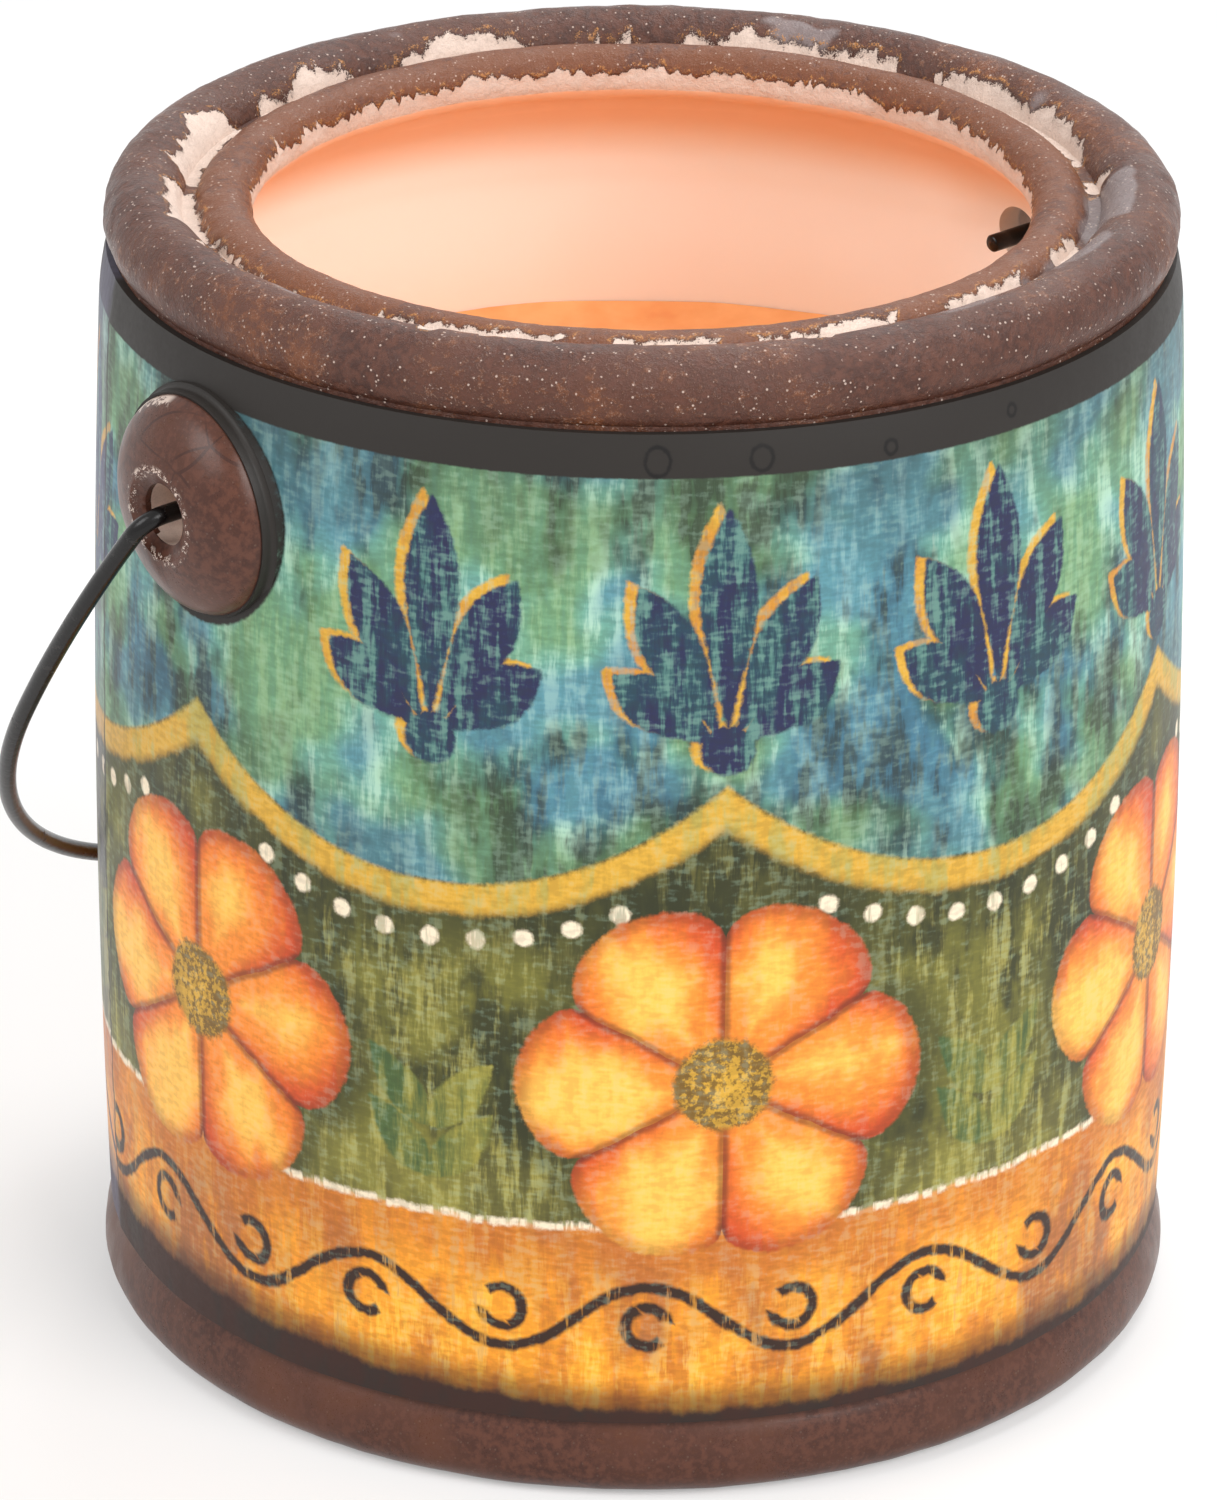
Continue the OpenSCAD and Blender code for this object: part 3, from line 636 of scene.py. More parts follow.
def crock_glaze(s, c):
    """Brown glaze with pale dust on it and a painted grey sheen, worn off in chips, over a peach inside with a painted
    glow from the wax and painted shade under the lip.
    """
    g = Graph("crock_glaze")
    place = g.place()
    x, y, z = g.split(place)
    r = span(x, y)
    top = s.jar_h / MM
    broad = g.noise(place, 0.09, 2)
    fine = g.noise(place, 1.1, 3, 0.68)
    grain = g.noise(place, 6.2, 2, 0.7)
    on_rim = z.above(top - 8.0, 2.0)
    on_lip = on_rim * (s.mouth_d / 2 / MM + 5.4 - r).above(0.0, 1.2)
    brown = g.mix(c.glaze, c.glaze_dark, fine.above(0.5, 0.3) * 0.8)
    warm = (broad * 0.5 + fine * 0.5 + on_lip * 0.14).above(0.57, 0.14)
    brown = g.mix(brown, c.glaze_warm, warm * (on_rim * 0.5 + 0.3))
    # Painted reflection: a grey sheen painted over the groove and the roll, strongest on one side of the rim
    brown = g.mix(brown, c.glaze_painted_sheen, g.attribute("slick").above(0.45, 0.4) * 0.7)
    specks = (0.17 - g.cells(place, 1.5)).above(0.0, 0.08) * fine.above(0.49, 0.06)
    haze = (grain * 0.6 + fine * 0.4).above(0.6, 0.1) * broad.above(0.48, 0.1) * 0.3
    brown = g.mix(brown, c.glaze_dust, specks.at_least(haze) * (on_rim * 0.7 + 0.06))
    edge = g.attribute("bare")
    bare = edge + (grain - 0.5) * 0.8 + (fine - 0.5) * 0.9
    gone = bare.above(0.0, 0.1)
    halo = (bare.above(-0.45, 0.3) - gone).at_least(0.0)
    brown = g.mix(brown, c.crumb, halo * (grain * 0.5 + fine * 0.5).above(0.54, 0.05) * on_rim * 0.8)
    brown = g.mix(brown, c.glaze_dark, bare.above(-0.16, 0.1) * 0.6)
    deep = edge.above(4.0, 2.0)
    pale = g.mix(c.bisque, c.glaze_dust, (fine * 0.5 + grain * 0.5).above(0.52, 0.12) * 0.5)
    # Painted glow: the wall is painted a deeper peach towards the wax, for the wax's orange light on it
    wall = g.mix(c.inside, c.inside_wax_glow, (z * -0.5 + broad * 4.0).above(-42.0, 7.0) * 0.5)
    # Painted shade: the wall under the lip is painted darker and more orange, towards the wax's colour
    wall = g.mix(wall, c.wax, z.above(top - 13.0, 9.0) * 0.62)
    base = g.mix(brown, g.mix(pale, wall, deep), gone)
    gloss = g.noise(place, 0.22, 2).above(0.52, 0.12)
    shine = gloss * (on_rim * 0.06 + 0.06) + g.attribute("slick") * 0.2
    rough = 0.29 + on_rim * 0.07 - shine + grain * 0.12 + gone * 0.26
    relief = fine * (on_rim * 0.9 + 0.1) + grain * on_rim * 0.35 - gone * 0.7
    relief = relief * (1.0 - deep * 0.9)

    # Fine cracks on the ears, and pale specks round their holes
    up = z - s.ear_z / MM - x * math.tan(s.ear_slope)
    from_hole = span(y, up)
    on_ear = abs(x).above(s.belly_d / 2 / MM + 0.2, 0.6)
    cracks = g.cells(place, 0.11, "DISTANCE_TO_EDGE") - 0.006
    crack = (0.004 - cracks).above(0.0, 0.004) * on_ear * broad.above(0.5, 0.08)
    lip_r = (s.ear_hole_d / 2 + s.ear_lip) / MM
    speck = (0.5 - abs(from_hole - lip_r)).above(0.0, 0.5) * (fine * 0.6 + grain * 0.4).above(0.56, 0.05) * on_ear
    corner = ((y * 0.45 + up * 0.89) / from_hole).above(0.95, 0.03)
    chip = (from_hole - s.ear_d / 2 / MM + 0.5 + (fine - 0.5) * 3.0).above(0.0, 0.2) * on_ear * corner
    base = g.mix(base, c.glaze_dark, crack * 0.8)
    base = g.mix(base, c.bisque, speck.at_least(chip) * 0.85)
    return g.finish(base, rough, relief, strength=0.8, depth=0.3, Specular_IOR_Level=0.3)


def leaf_shape(x, y, lean, size, width, shoulder):
    """How far a point lies inside a pointed leaf that grows from the origin and leans over, in millimetres."""
    along = (x * math.sin(lean) + y * math.cos(lean)) / size
    across = x * math.cos(lean) - y * math.sin(lean)
    t = along.at_least(0.0).at_most(1.0)
    half = (t.calc("POWER", shoulder) * math.pi).calc("SINE") * (width / 2)
    return (half - abs(across)).at_most(along * size - 0.1).at_most((1.0 - along) * size - 0.2)


def palmette_shape(x, y, w):
    """How far a point lies inside a palmette, a fan of lobes on a round base."""
    side = abs(x)
    fan, fall, shoulder = math.radians(27), 0.22, 1.5
    height, lobe = w.palmette_h / MM, w.lobe_w / MM
    inside = w.base_r / MM - span(x, y)
    for i in range(3):
        inside = inside.at_least(leaf_shape(side, y, i * fan, height * (1 - fall * i), lobe, shoulder))
    return inside


def printed_film(s, w, c):
    """The print on the film: a teal field of palmettes over gold-edged swags, blossoms and sprigs on green, and a
    vine on amber, painted by hand on linen and worn."""
    g = Graph("printed_film")
    place = g.place()
    x, y, z = g.split(place)
    belly = s.belly_d / 2 / MM
    turn = y.calc("ARCTAN2", x)
    drag = g.noise(g.stretch(place, (1.0, 1.0, 0.14)), 0.7, 4, 0.68)
    patch = g.noise(place, 0.05, 2, 0.55)
    blot = g.noise(g.stretch(place, (1.0, 1.0, 0.5)), 0.2, 3, 0.64)
    fray = g.noise(place, 1.5, 2, 0.7)
    rows = g.noise(g.stretch(place, (0.35, 0.35, 1.0)), 1.7, 1, 0.6)
    linen = rows * 0.4 + drag * 0.4 + fray * 0.2
    edge = (fray - 0.5) * 1.3 + (drag - 0.5) * 0.8
    soft = 0.5

    def painted(body, dark, light, dark_at, light_at, amount=0.9):
        """One field of paint: darker in blots and lighter where the brush dragged."""
        made = g.mix(body, dark, (patch * 0.35 + blot * 0.4 + drag * 0.25).above(dark_at, 0.11) * amount)
        return g.mix(made, light, (drag * 0.72 + rows * 0.08 + (1.0 - blot) * 0.2).above(light_at, 0.14) * 0.8)

    # The print was wrapped a little askew, which shows at its lower border
    askew = (turn - w.tilt_turn).calc("COSINE").at_least(0.0) * (w.tilt / MM) - 0.4
    up = z + (blot - 0.5) * 1.2
    sector = math.tau / w.swag_n
    bloom_x = turn.fold(sector).calc("SINE") * belly
    swag_x = (turn + sector / 2).fold(sector).calc("SINE") * belly

    # Fields, darker towards their borders
    half = belly * math.sin(sector / 2)
    drop = w.swag_drop / MM
    swag_r = (half**2 + drop**2) / (2 * drop)
    swag_y = w.teal_z / MM + swag_r - drop - up
    reach = span(swag_x, swag_y)
    teal_in = (swag_r - reach).at_least(up - w.teal_z / MM)
    teal = painted(c.teal, c.teal_deep, c.teal_pale, 0.515, 0.53)
    tint = g.noise(place, 0.065, 2, 0.6)
    teal = g.mix(teal, c.blue, tint.above(0.53, 0.1) * 0.65)
    teal = g.mix(teal, c.moss, (1.0 - tint).above(0.54, 0.1) * (drag + 0.1))
    murk = (z - w.border_z / MM + 7.0).above(0.0, 14.0) * 0.5 + (6.0 - teal_in).above(0.0, 8.0) * 0.35
    streak = (blot * 0.4 + drag * 0.6).above(0.53, 0.12) * patch.above(0.5, 0.12)
    teal = g.mix(teal, c.teal_murk, (murk + blot * 1.4 - 0.72 + streak * 0.7).at_least(0.0).at_most(0.8))
    green = painted(c.green, c.green_deep, c.green_pale, 0.48, 0.54)
    near_line = (w.line_z / MM + 7.0 - up).above(0.0, 9.0)
    green = g.mix(green, c.green_pale, near_line * (drag * 0.9) * 0.7)
    green = g.mix(green, c.green_deep, (7.0 + teal_in).above(0.0, 9.0) * 0.75)
    amber = painted(c.amber, c.amber_burnt, c.amber_pale, 0.5, 0.53, 0.8)
    amber = g.mix(amber, c.amber_ash, (patch * 0.6 + blot * 0.25 + drag * 0.15).above(0.57, 0.06) * 0.6)
    amber = g.mix(amber, c.amber_burnt, (up - w.line_z / MM + 5.0).above(0.0, 7.0) * 0.45)
    scorch = (patch * 0.5 + drag * 0.5 + (up - w.line_z / MM) * 0.006).above(0.46, 0.08)
    amber = g.mix(amber, c.amber_burnt, scorch * 0.5)

    # Blossoms
    bloom_y = up - w.bloom_z / MM
    rho = span(bloom_x, bloom_y)
    ray = bloom_x.calc("ARCTAN2", bloom_y)
    lobe = abs((ray * (w.petal_n / 2)).calc("SINE"))
    dip = 0.22
    petal_reach = (lobe.calc("SQRT") * dip + (1 - dip)) * (w.bloom_r / MM)
    bloom_in = petal_reach - rho
    u = rho / petal_reach
    petal_turn = math.tau / w.petal_n
    lit = abs(u - 0.62) * 1.5 + abs((ray - petal_turn / 2).fold(petal_turn) / petal_turn + 0.1) * 1.5
    glow = lit + bloom_x * 0.014 + bloom_y * 0.01 + (blot - 0.5) * 1.0 + (drag - 0.5) * 0.3
    bloom = g.mix(c.petal_pale, c.petal, glow.above(0.45, 0.6))
    bloom = g.mix(bloom, c.petal_red, (glow * 0.5 + u * 0.5 + (drag - 0.5) * 0.4).above(0.9, 0.5) * 0.85)
    overlap = ((ray - petal_turn / 2).fold(petal_turn) / petal_turn).above(0.36, 0.26) * u.above(0.3, 0.4)
    bloom = g.coats(
        bloom,
        (c.petal_red, overlap * (blot * 0.6 + 0.4)),
        (c.umber, (0.09 - lobe * u).above(0.0, 0.1) * u.above(0.2, 0.3) * 0.55),
        (c.umber, (1.2 - bloom_in).above(0.0, 1.6) * 0.35),
    )
    heart = w.heart_r / MM - rho
    seed = (fray * 0.6 + blot * 0.4).above(0.5, 0.14)
    middle = g.mix(c.gold, c.umber, (seed + (0.35 - heart / 9.0)).at_most(1.0) * 0.75)
    bloom = g.mix(bloom, middle, (heart + edge).above(0.0, 0.9))
    shade = (bloom_in + 2.6).above(0.0, 5.2) * 0.7
    green = g.mix(green, c.green_deep, shade)
    amber = g.mix(amber, c.amber_burnt, shade * 0.8)

    # Sprigs and dots on the green field
    sprig_z, leaf_step, leaf_lean, leaf_w = 33.0, 5.5, math.radians(40), 4.2
    low_leaf, high_leaf = (
        leaf_shape(abs(swag_x), up - sprig_z - step, leaf_lean, w.leaf_l / MM, leaf_w, 0.8) for step in (0.0, leaf_step)
    )
    sprig_in = low_leaf.at_least(high_leaf)
    sprig = g.mix(c.leaf, c.leaf_pale, (drag * 0.5 + blot * 0.3 + swag_x * 0.01).above(0.4, 0.2))
    green = g.mix(green, sprig, (sprig_in + edge * 0.5).above(0.0, soft) * 0.85)
    bead_r, bead_step, last_bead = 0.9, math.radians(6), math.radians(27)
    ring = swag_r + w.swag_edge / MM + 3.4
    bead_turn = swag_x.calc("ARCTAN2", swag_y)
    bead_x = bead_turn.fold(bead_step) * ring
    bead_y = reach - ring
    bead_in = (bead_r - span(bead_x, bead_y)).at_most((last_bead - abs(bead_turn)) * 40.0)
    green = g.mix(green, c.cream, (bead_in + edge * 0.35).above(0.0, soft) * (1.1 - drag.above(0.56, 0.16) * 0.6))

    # The vine on the amber field
    vine_z = (w.amber_z + w.line_z) / 2 / MM
    swing = w.vine_swing / MM
    waves = 12
    wave = (turn * waves).calc("SINE") * swing + (up - vine_z)
    slope = (turn * waves).calc("COSINE") * (swing * waves / belly)
    thick = w.vine_w / MM / 2 * (0.7 + blot * 0.7)
    stem_in = thick - abs(wave) / (slope * slope + 1.0).calc("SQRT")
    curl_turn, curl_r = math.tau / waves, 2.05
    cell = (turn + curl_turn / 2).fold(curl_turn) * belly
    mirror = cell.calc("SIGN")
    curl_x = abs(cell) - belly * math.sin(curl_turn / 4)
    curl_y = (up - vine_z) * mirror + 0.6
    curl_d = span(curl_x, curl_y)
    curl_in = thick - abs(curl_d - curl_r)
    gap = (curl_x + curl_y * 0.6) - 0.4
    curl_in = curl_in.at_most(-(gap.at_most(1.4 - abs(curl_y - curl_x * -0.5))))
    vine_in = stem_in.at_least(curl_in)
    amber = g.mix(amber, c.umber, (vine_in + edge * 0.3).above(0.0, soft) * (1.0 - drag.above(0.6, 0.1) * 0.6))

    # Palmettes on the teal field
    palm_x = turn.fold(sector / 2).calc("SINE") * belly
    palm_y = up - (w.teal_z + w.palmette_gap) / MM
    lobe_edge = w.lobe_edge / MM
    clear = (abs(y) - (s.ear_d / 2 + w.collar_w) / MM).above(1.0, 0.5)
    back_in = palmette_shape(palm_x + lobe_edge, palm_y - lobe_edge / 2, w)
    palm_in = palmette_shape(palm_x, palm_y, w)
    worn = 1.0 - (drag * 0.8 + rows * 0.2).above(0.55, 0.14) * 0.42
    gilt = g.mix(c.gold, c.amber_burnt, (drag * 0.5 + blot * 0.5).above(0.52, 0.16) * 0.6)
    teal = g.mix(teal, gilt, (back_in + edge * 0.5).above(0.0, soft) * clear * worn)
    navy = g.mix(c.navy, c.teal_deep, (blot * 0.6 + drag * 0.4).above(0.5, 0.14) * 0.75)
    navy = g.mix(navy, c.teal, 1.0 - worn)
    teal = g.mix(teal, navy, (palm_in + edge * 0.55).above(0.0, soft) * clear)

    # The fields together, then the edges between them
    ink = g.mix(green, teal, (teal_in + edge * 0.5).above(0.0, soft))
    gold_w = w.swag_edge / MM * 1.5
    band = teal_in + gold_w / 2
    band_in = gold_w / 2 + (blot - 0.5) * 1.2 - abs(band)
    gold = g.mix(c.gold, c.green_pale, (drag * 0.4 + blot * 0.6).above(0.53, 0.12) * 0.75)
    gold = g.mix(gold, c.umber, (-band).above(gold_w * 0.38, gold_w * 0.4) * 0.55)
    ink = g.mix(ink, gold, (band_in + edge * 0.5).above(0.0, soft * 1.6))
    line_mid = (w.line_z + w.line_w / 2) / MM
    ink = g.mix(ink, amber, (line_mid - up + edge * 0.3).above(0.0, soft))
    line_in = w.line_w / MM / 2 - abs(up - line_mid)
    ink = g.coats(
        ink,
        (c.cream, (line_in + edge * 0.4).above(0.0, soft) * (1.0 - drag.above(0.54, 0.14) * 0.9)),
        (bloom, (bloom_in + edge * 0.5).above(0.0, soft)),
        (c.green_deep, (0.46 - linen).above(0.0, 0.12) * 0.2),
        (c.teal_pale, linen.above(0.55, 0.12) * 0.12),
    )

    # Borders, collars, the lap and a painted reflection beside it
    ear_y = z - s.ear_z / MM - x * math.tan(s.ear_slope)
    ear_d = span(y, ear_y)
    collar = (s.ear_d / 2 + w.collar_w) / MM
    dark = (z - w.border_z / MM + edge * 0.15).above(0.0, 0.25)
    dark = dark.at_least((collar + 0.1 - ear_d + edge * 0.3).above(0.0, 0.4))
    low = w.amber_z / MM - z + askew
    dark = dark.at_least((low + edge * 0.5 + (blot - 0.5) * 2.4).above(0.0, 1.2))
    lap = (turn - w.seam) * belly
    dark = dark.at_least((0.5 - abs(lap)).above(0.0, 0.4) * 0.8)
    grey = g.mix(c.film, c.glaze_dark, (low + 1.0).above(0.0, 2.0) * (blot.above(0.46, 0.2) * 0.5 + 0.3))
    ink = g.mix(ink, c.glaze_dark, (low + 2.2).above(0.0, 3.6) * 0.75)
    base = g.mix(ink, grey, dark)
    # Painted reflection: a pale mauve strip beside the lap
    base = g.mix(base, c.mauve_painted_reflection, (5.0 - abs(lap + 5.6)).above(0.0, 3.0) * (drag * 0.5))

    # Blisters under the film, each a ring of painted shade at its edge, with no relief: azimuth, height and radius
    blister_edge_shade = None
    for around, high, size in BLISTERS:
        off_x = (turn - math.radians(around)).fold(math.tau) * belly
        off_y = z - high
        rim_in = 0.18 - abs((off_x * off_x + off_y * off_y * 0.8).calc("SQRT") - (fray * 0.3 + 0.85) * size)
        one = rim_in.above(0.0, 0.24)
        blister_edge_shade = one if blister_edge_shade is None else blister_edge_shade.at_least(one)
    base = g.mix(base, (0.004, 0.003, 0.003), blister_edge_shade * (0.5 + blot * 0.8))
    rough = 0.34 + fray * 0.16 + dark * 0.1
    relief = rows * 0.1 + g.noise(place, 0.35, 0) * 0.5
    return g.finish(base, rough, relief, strength=0.4, depth=0.25, Specular_IOR_Level=0.28)


def poured_wax(c):
    """Orange wax with a slight bloom and soft marks of cooling."""
    g = Graph("poured_wax")
    place = g.place()
    bloom = g.noise(place, 0.09, 4, 0.6)
    fine = g.noise(place, 0.9, 3)
    pale = [min(1.0, k * 1.25 + 0.06) for k in c.wax]
    deep = [k * f for k, f in zip(c.wax, (0.92, 0.72, 0.6))]
    base = g.mix(c.wax, pale, bloom.above(0.55, 0.2) * 0.6)
    base = g.mix(base, deep, bloom.above(0.42, 0.15).calc("SUBTRACT", 1.0) * -0.6)
    rough = 0.5 + fine * 0.16
    relief = bloom * 0.6 + fine * 0.15
    return g.finish(base, rough, relief, strength=0.5, depth=0.5)


def waxed_cotton(c):
    """Braided cotton under a film of wax."""
    g = Graph("waxed_cotton")
    place = g.place()
    fibre = g.noise(g.stretch(place, (1.0, 1.0, 0.35)), 6.0, 4, 0.7)
    base = g.mix(c.cotton, [k * 0.72 for k in c.cotton], fibre.above(0.5, 0.3))
    return g.finish(base, 0.55 + fibre * 0.2, fibre, strength=0.5, depth=0.12)


def tinned_steel(c):
    """Thin pressed tinplate with fine scratches."""
    g = Graph("tinned_steel")
    place = g.place()
    scratch = g.noise(g.stretch(place, (0.3, 4.0, 1.0)), 1.4, 4, 0.6)
    base = g.mix(c.tin, [k * 0.7 for k in c.tin], scratch.above(0.55, 0.2) * 0.5)
    return g.finish(base, 0.28 + scratch * 0.2, scratch, strength=0.3, depth=0.05, Metallic=1.0)


def coated_wire(c):
    """Black lacquer on wire, with drawn lines and small scuffs."""
    g = Graph("coated_wire")
    place = g.place()
    skin = g.noise(place, 1.6, 4, 0.6)
    scuff = g.noise(place, 0.5, 5, 0.7).above(0.63, 0.05)
    base = g.mix(c.wire, [0.03, 0.027, 0.026], scuff * 0.6)
    return g.finish(base, 0.16 + skin * 0.14 + scuff * 0.2, skin, strength=0.5, depth=0.06, Specular_IOR_Level=0.3)


def pale_floor(c):
    """A pale floor that the camera sees nearly white, with the object's shadow kept."""
    g = Graph("pale_floor")
    place = g.place()
    x, y, _ = g.split(place)
    fade_from, fade_over = 330.0, 300.0
    far = (span(x, y) - fade_from).above(0.0, fade_over)
    cloud = g.noise(place, 0.01, 0)
    base = g.mix(c.floor, [k * 0.97 for k in c.floor], cloud.above(0.5, 0.4))
    matte = g.node("BsdfDiffuse", [base])
    glow = g.node("Emission", [(1.0, 1.0, 1.0), 1.0])
    mixed = g.node("MixShader", [g.seen() * (far * 0.65 + 0.35)])
    g.tree.links.new(matte.outputs[0], mixed.inputs[1])
    g.tree.links.new(glow.outputs[0], mixed.inputs[2])
    return g.close(mixed)


# Where the glaze is chipped along the rim's groove: first and last azimuth, and how far the chip reaches out from
# the groove's middle and in from it, in millimetres
CHIPS = (
    (334, 12, 1.3, 0.55), (15, 47, 1.2, 0.55), (51, 61, 1.0, 0.55), (66, 88, 1.4, 0.6), (91, 111, 1.4, 0.55),
    (116, 138, 2.3, 0.6), (141, 160, 2.4, 0.7), (164, 194, 2.7, 0.8), (197, 202, 2.4, 1.4), (204, 209.5, 3.3, 2.1),
    (211, 218.5, 3.4, 2.2), (229.5, 237.5, 3.4, 2.2), (248, 255, 3.5, 2.0), (256, 262.5, 3.4, 2.3),
    (274, 278, 2.6, 1.9), (280, 286, 3.0, 1.9), (297, 303, 2.2, 1.2), (323, 328, 1.2, 0.6),
)


# What the "bare" attribute says away from the chips: whole glaze, bare body, and the peach wall inside
GLAZED, BARE, PEACH = -2.0, 2.5, 6.0
RIM_NOISE_R = 43.6


def chip_width(crock, degrees):
    """How far the chip at an azimuth reaches out and in, or minus the distance to the nearest one."""
    best, inward = -9.0, 0.5
    for first, last, wide, inner in CHIPS:
        span, at = (last - first) % 360, (degrees - first) % 360
        from_end = min(at, span - at) if at < span else -min(at - span, 360 - at)
        reach = from_end * math.radians(1) * crock.groove_r / MM
        found = wide * min(1.0, reach / 1.6) if reach > 0 else reach
        if found > best:
            best, inward = found, inner
    return best, inward


def bare_amount(crock, co):
    """How much the glaze is gone, in millimetres past the chip's edge: negative under whole glaze."""
    x, y, z = co / MM
    r = math.hypot(x, y)
    top, floor_z = crock.s.jar_h / MM, crock.s.floor_t / MM
    wall_middle = (crock.jar_r(min(co.z, crock.notch_z)) - crock.s.wall / 2) / MM
    lip_under = (crock.lip_z - 0.35 * crock.s.lip_r) / MM
    hole_mouth = (crock.ear_face - crock.s.ear_lip_depth) / MM - 0.4
    if crock.from_ear(co) < crock.s.ear_hole_d / 2 + 0.25 * MM and r < hole_mouth:
        return PEACH if r < wall_middle + 1.5 else BARE
    if z < lip_under:
        return PEACH if z > floor_z - 1 and r < wall_middle else GLAZED
    rim = Vector((x, y, 0)).normalized() * RIM_NOISE_R
    slow = noise.noise(rim / 4.5 + Vector((3, 1, 5)))
    jag = noise.fractal(rim / 1.3 + Vector((0, 0, r / 4)), 0.7, 2.1, 4)
    groove = crock.groove_r / MM
    if r < crock.lip_c / MM:
        spike = abs(noise.noise(rim / 1.1 + Vector((7, 2, 1)))) * 1.6
        return top - 3.6 + 0.8 * slow + spike + 0.35 * jag - z
    chip, inward = chip_width(crock, math.degrees(math.atan2(y, x)) % 360)
    outer = groove + chip * (1.0 + 0.7 * slow) + 0.75 * jag - r
    return min(outer, r - groove + inward * 0.92 + 0.75 * jag)


def painted_sheen_and_gloss_amount(crock, co):
    """Where a grey sheen is painted over the groove and the roll, strongest on one side, and where the glaze is
    glossier there, from 0 to 1.
    """
    x, y, z = co / MM
    r = math.hypot(x, y)
    if z < crock.roll_z / MM - 1.5:
        return 0.0
    rim = Vector((x, y, 0)) / 9
    patch = noise.fractal(rim + Vector((1, 8, 2)), 0.7, 2.0, 3) * 1.6
    # The side of the rim where the painted sheen is strongest
    sheen_side = math.radians(298)
    around = math.cos(math.atan2(y, x) - sheen_side)
    across = 1 - abs(r - crock.groove_r / MM - 1.4) / 3.2
    return max(0.0, min(1.0, 0.9 * around**3 + patch - 0.36)) * max(0.0, min(1.0, 2 * across))


def glaze_relief(crock, co):
    """How far the glaze's lumps, its grain and its chips move the surface out."""
    x, y, z = co / MM
    p = Vector((x, y, z))
    top, floor_z = crock.s.jar_h / MM, crock.s.floor_t / MM
    lumps = 0.13 * noise.noise(p / 7) + 0.07 * noise.noise(p / 2.6 + Vector((9, 2, 4)))
    if floor_z - 1 < z < top - 8 and math.hypot(x, y) < crock.cavity_r(co.z) / MM + 1:
        return 0.2 * lumps * MM
    if z < top - 9:
        return 0.55 * lumps * MM
    grain = 0.05 * noise.noise(p / 1.1)
    chip = min(1.0, max(0.0, bare_amount(crock, co) / 0.4))
    return (lumps + grain - 0.24 * chip) * MM


class CANDLE_OT_crock(bpy.types.Operator):
    """Builds the glazed crock with its ears, holes and worn rim"""

    bl_idname = "candle.crock"
    bl_label = "Crock"

    def execute(self, context):
        s, _, _ = sizes()
        crock = Crock(s)
        piece = revolve("crock", crock.section(), round_turns(CROCK_COLUMNS))
        carve(piece, "UNION", [crock.ear(turn) for turn in EAR_TURNS])
        carve(piece, "DIFFERENCE", [tool for turn in EAR_TURNS for tool in crock.ear_tools(turn)])
        crock.press_hollows(piece)
        push_out(piece, lambda co: glaze_relief(crock, co))
        write_attribute(piece, "bare", lambda co: bare_amount(crock, co))
        # Where the grey sheen is painted, which also lowers the roughness there
        write_attribute(piece, "slick", lambda co: painted_sheen_and_gloss_amount(crock, co))
        dress(piece, crock_glaze(s, context.scene.candle_colours), "crock", ["jar"])
        return {"FINISHED"}


class CANDLE_OT_wrap(bpy.types.Operator):
    """Builds the printed film with its collars round the ears and its lap"""

    bl_idname = "candle.wrap"
    bl_label = "Printed wrap"

    def execute(self, context):
        s, w, _ = sizes()
        crock = Crock(s)
        low, high = s.foot_h + 0.15 * MM, crock.notch_z - w.film_gap
        heights = crock.heights(low, high, 90)
        outer = [(crock.skin_r(z) - w.depth, z) for z in heights]
        inner = [(crock.jar_r(z), z) for z in reversed(heights[::6])]
        turns = round_turns(WRAP_COLUMNS, w.seam)
        piece = revolve("printed_wrap", outer + inner, turns, closed=True)
        places = [crock.at_ear(turn) for turn in EAR_TURNS]
        drill = [(0, 40 * MM), (crock.ear_r, 40 * MM), (crock.ear_r, 70 * MM), (0, 70 * MM)]
        round_ear = round_turns(COLLAR_COLUMNS)
        carve(piece, "DIFFERENCE", [revolve("drill", even(drill, 2 * MM), round_ear, place=p) for p in places])
        collars = [self.collar(crock, w, p) for p in places]
        core_z = crock.heights(s.foot_h, crock.notch_z, 24)
        core = [(0, s.foot_h)] + [(crock.jar_r(z) + 0.05 * MM, z) for z in core_z] + [(0, crock.notch_z)]
        for ring in collars:
            carve(ring, "DIFFERENCE", [revolve("core", core, turns)])
        carve(piece, "UNION", collars)
        push_out(piece, lambda co: self.relief(crock, w, co))
        nodes = ["wrap_film"] + [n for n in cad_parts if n.startswith("ink_")]
        dress(piece, printed_film(s, w, context.scene.candle_colours), "crock", nodes)
        return {"FINISHED"}

    def collar(self, crock, w, place):
        """The film's collar, which climbs an ear's side and flares out onto the wrap."""
        s = crock.s
        film = 0.25 * MM
        edge_r, edge_x = crock.ear_edge_r, crock.ear_edge_x
        rise = (crock.skin_r(s.ear_z) + w.collar_h - edge_x) / s.ear_round
        climb = math.degrees(math.asin(min(0.95, rise)))
        wide = crock.ear_r + w.collar_w
        root = math.sqrt(crock.jar_r(s.ear_z) ** 2 - wide**2) - 1 * MM
        sleeve = arc(edge_r, edge_x, s.ear_round, climb, 0, 8)
        cover = arc(edge_r, edge_x, s.ear_round + film, 0, climb, 8)
        flare = arc(wide, edge_x, w.collar_w - film, 260, 180, 8)
        line = sleeve + [(crock.ear_r, root), (wide, root)] + flare + cover
        return revolve("collar", even(line, 0.6 * MM), round_turns(COLLAR_COLUMNS), closed=True, place=place)

    def relief(self, crock, w, co):
        """Slow waves in the film, and the step of its lap."""
        x, y, z = co / MM
        waves = 0.05 * noise.noise(Vector((x, y, z * 0.4)) / 9)
        lap = (math.atan2(y, x) - w.seam) * crock.belly_r / MM
        step = 0.14 * max(0.0, 1 - lap / 5) if 0 <= lap < 5 else 0.0
        return (waves + step) * MM


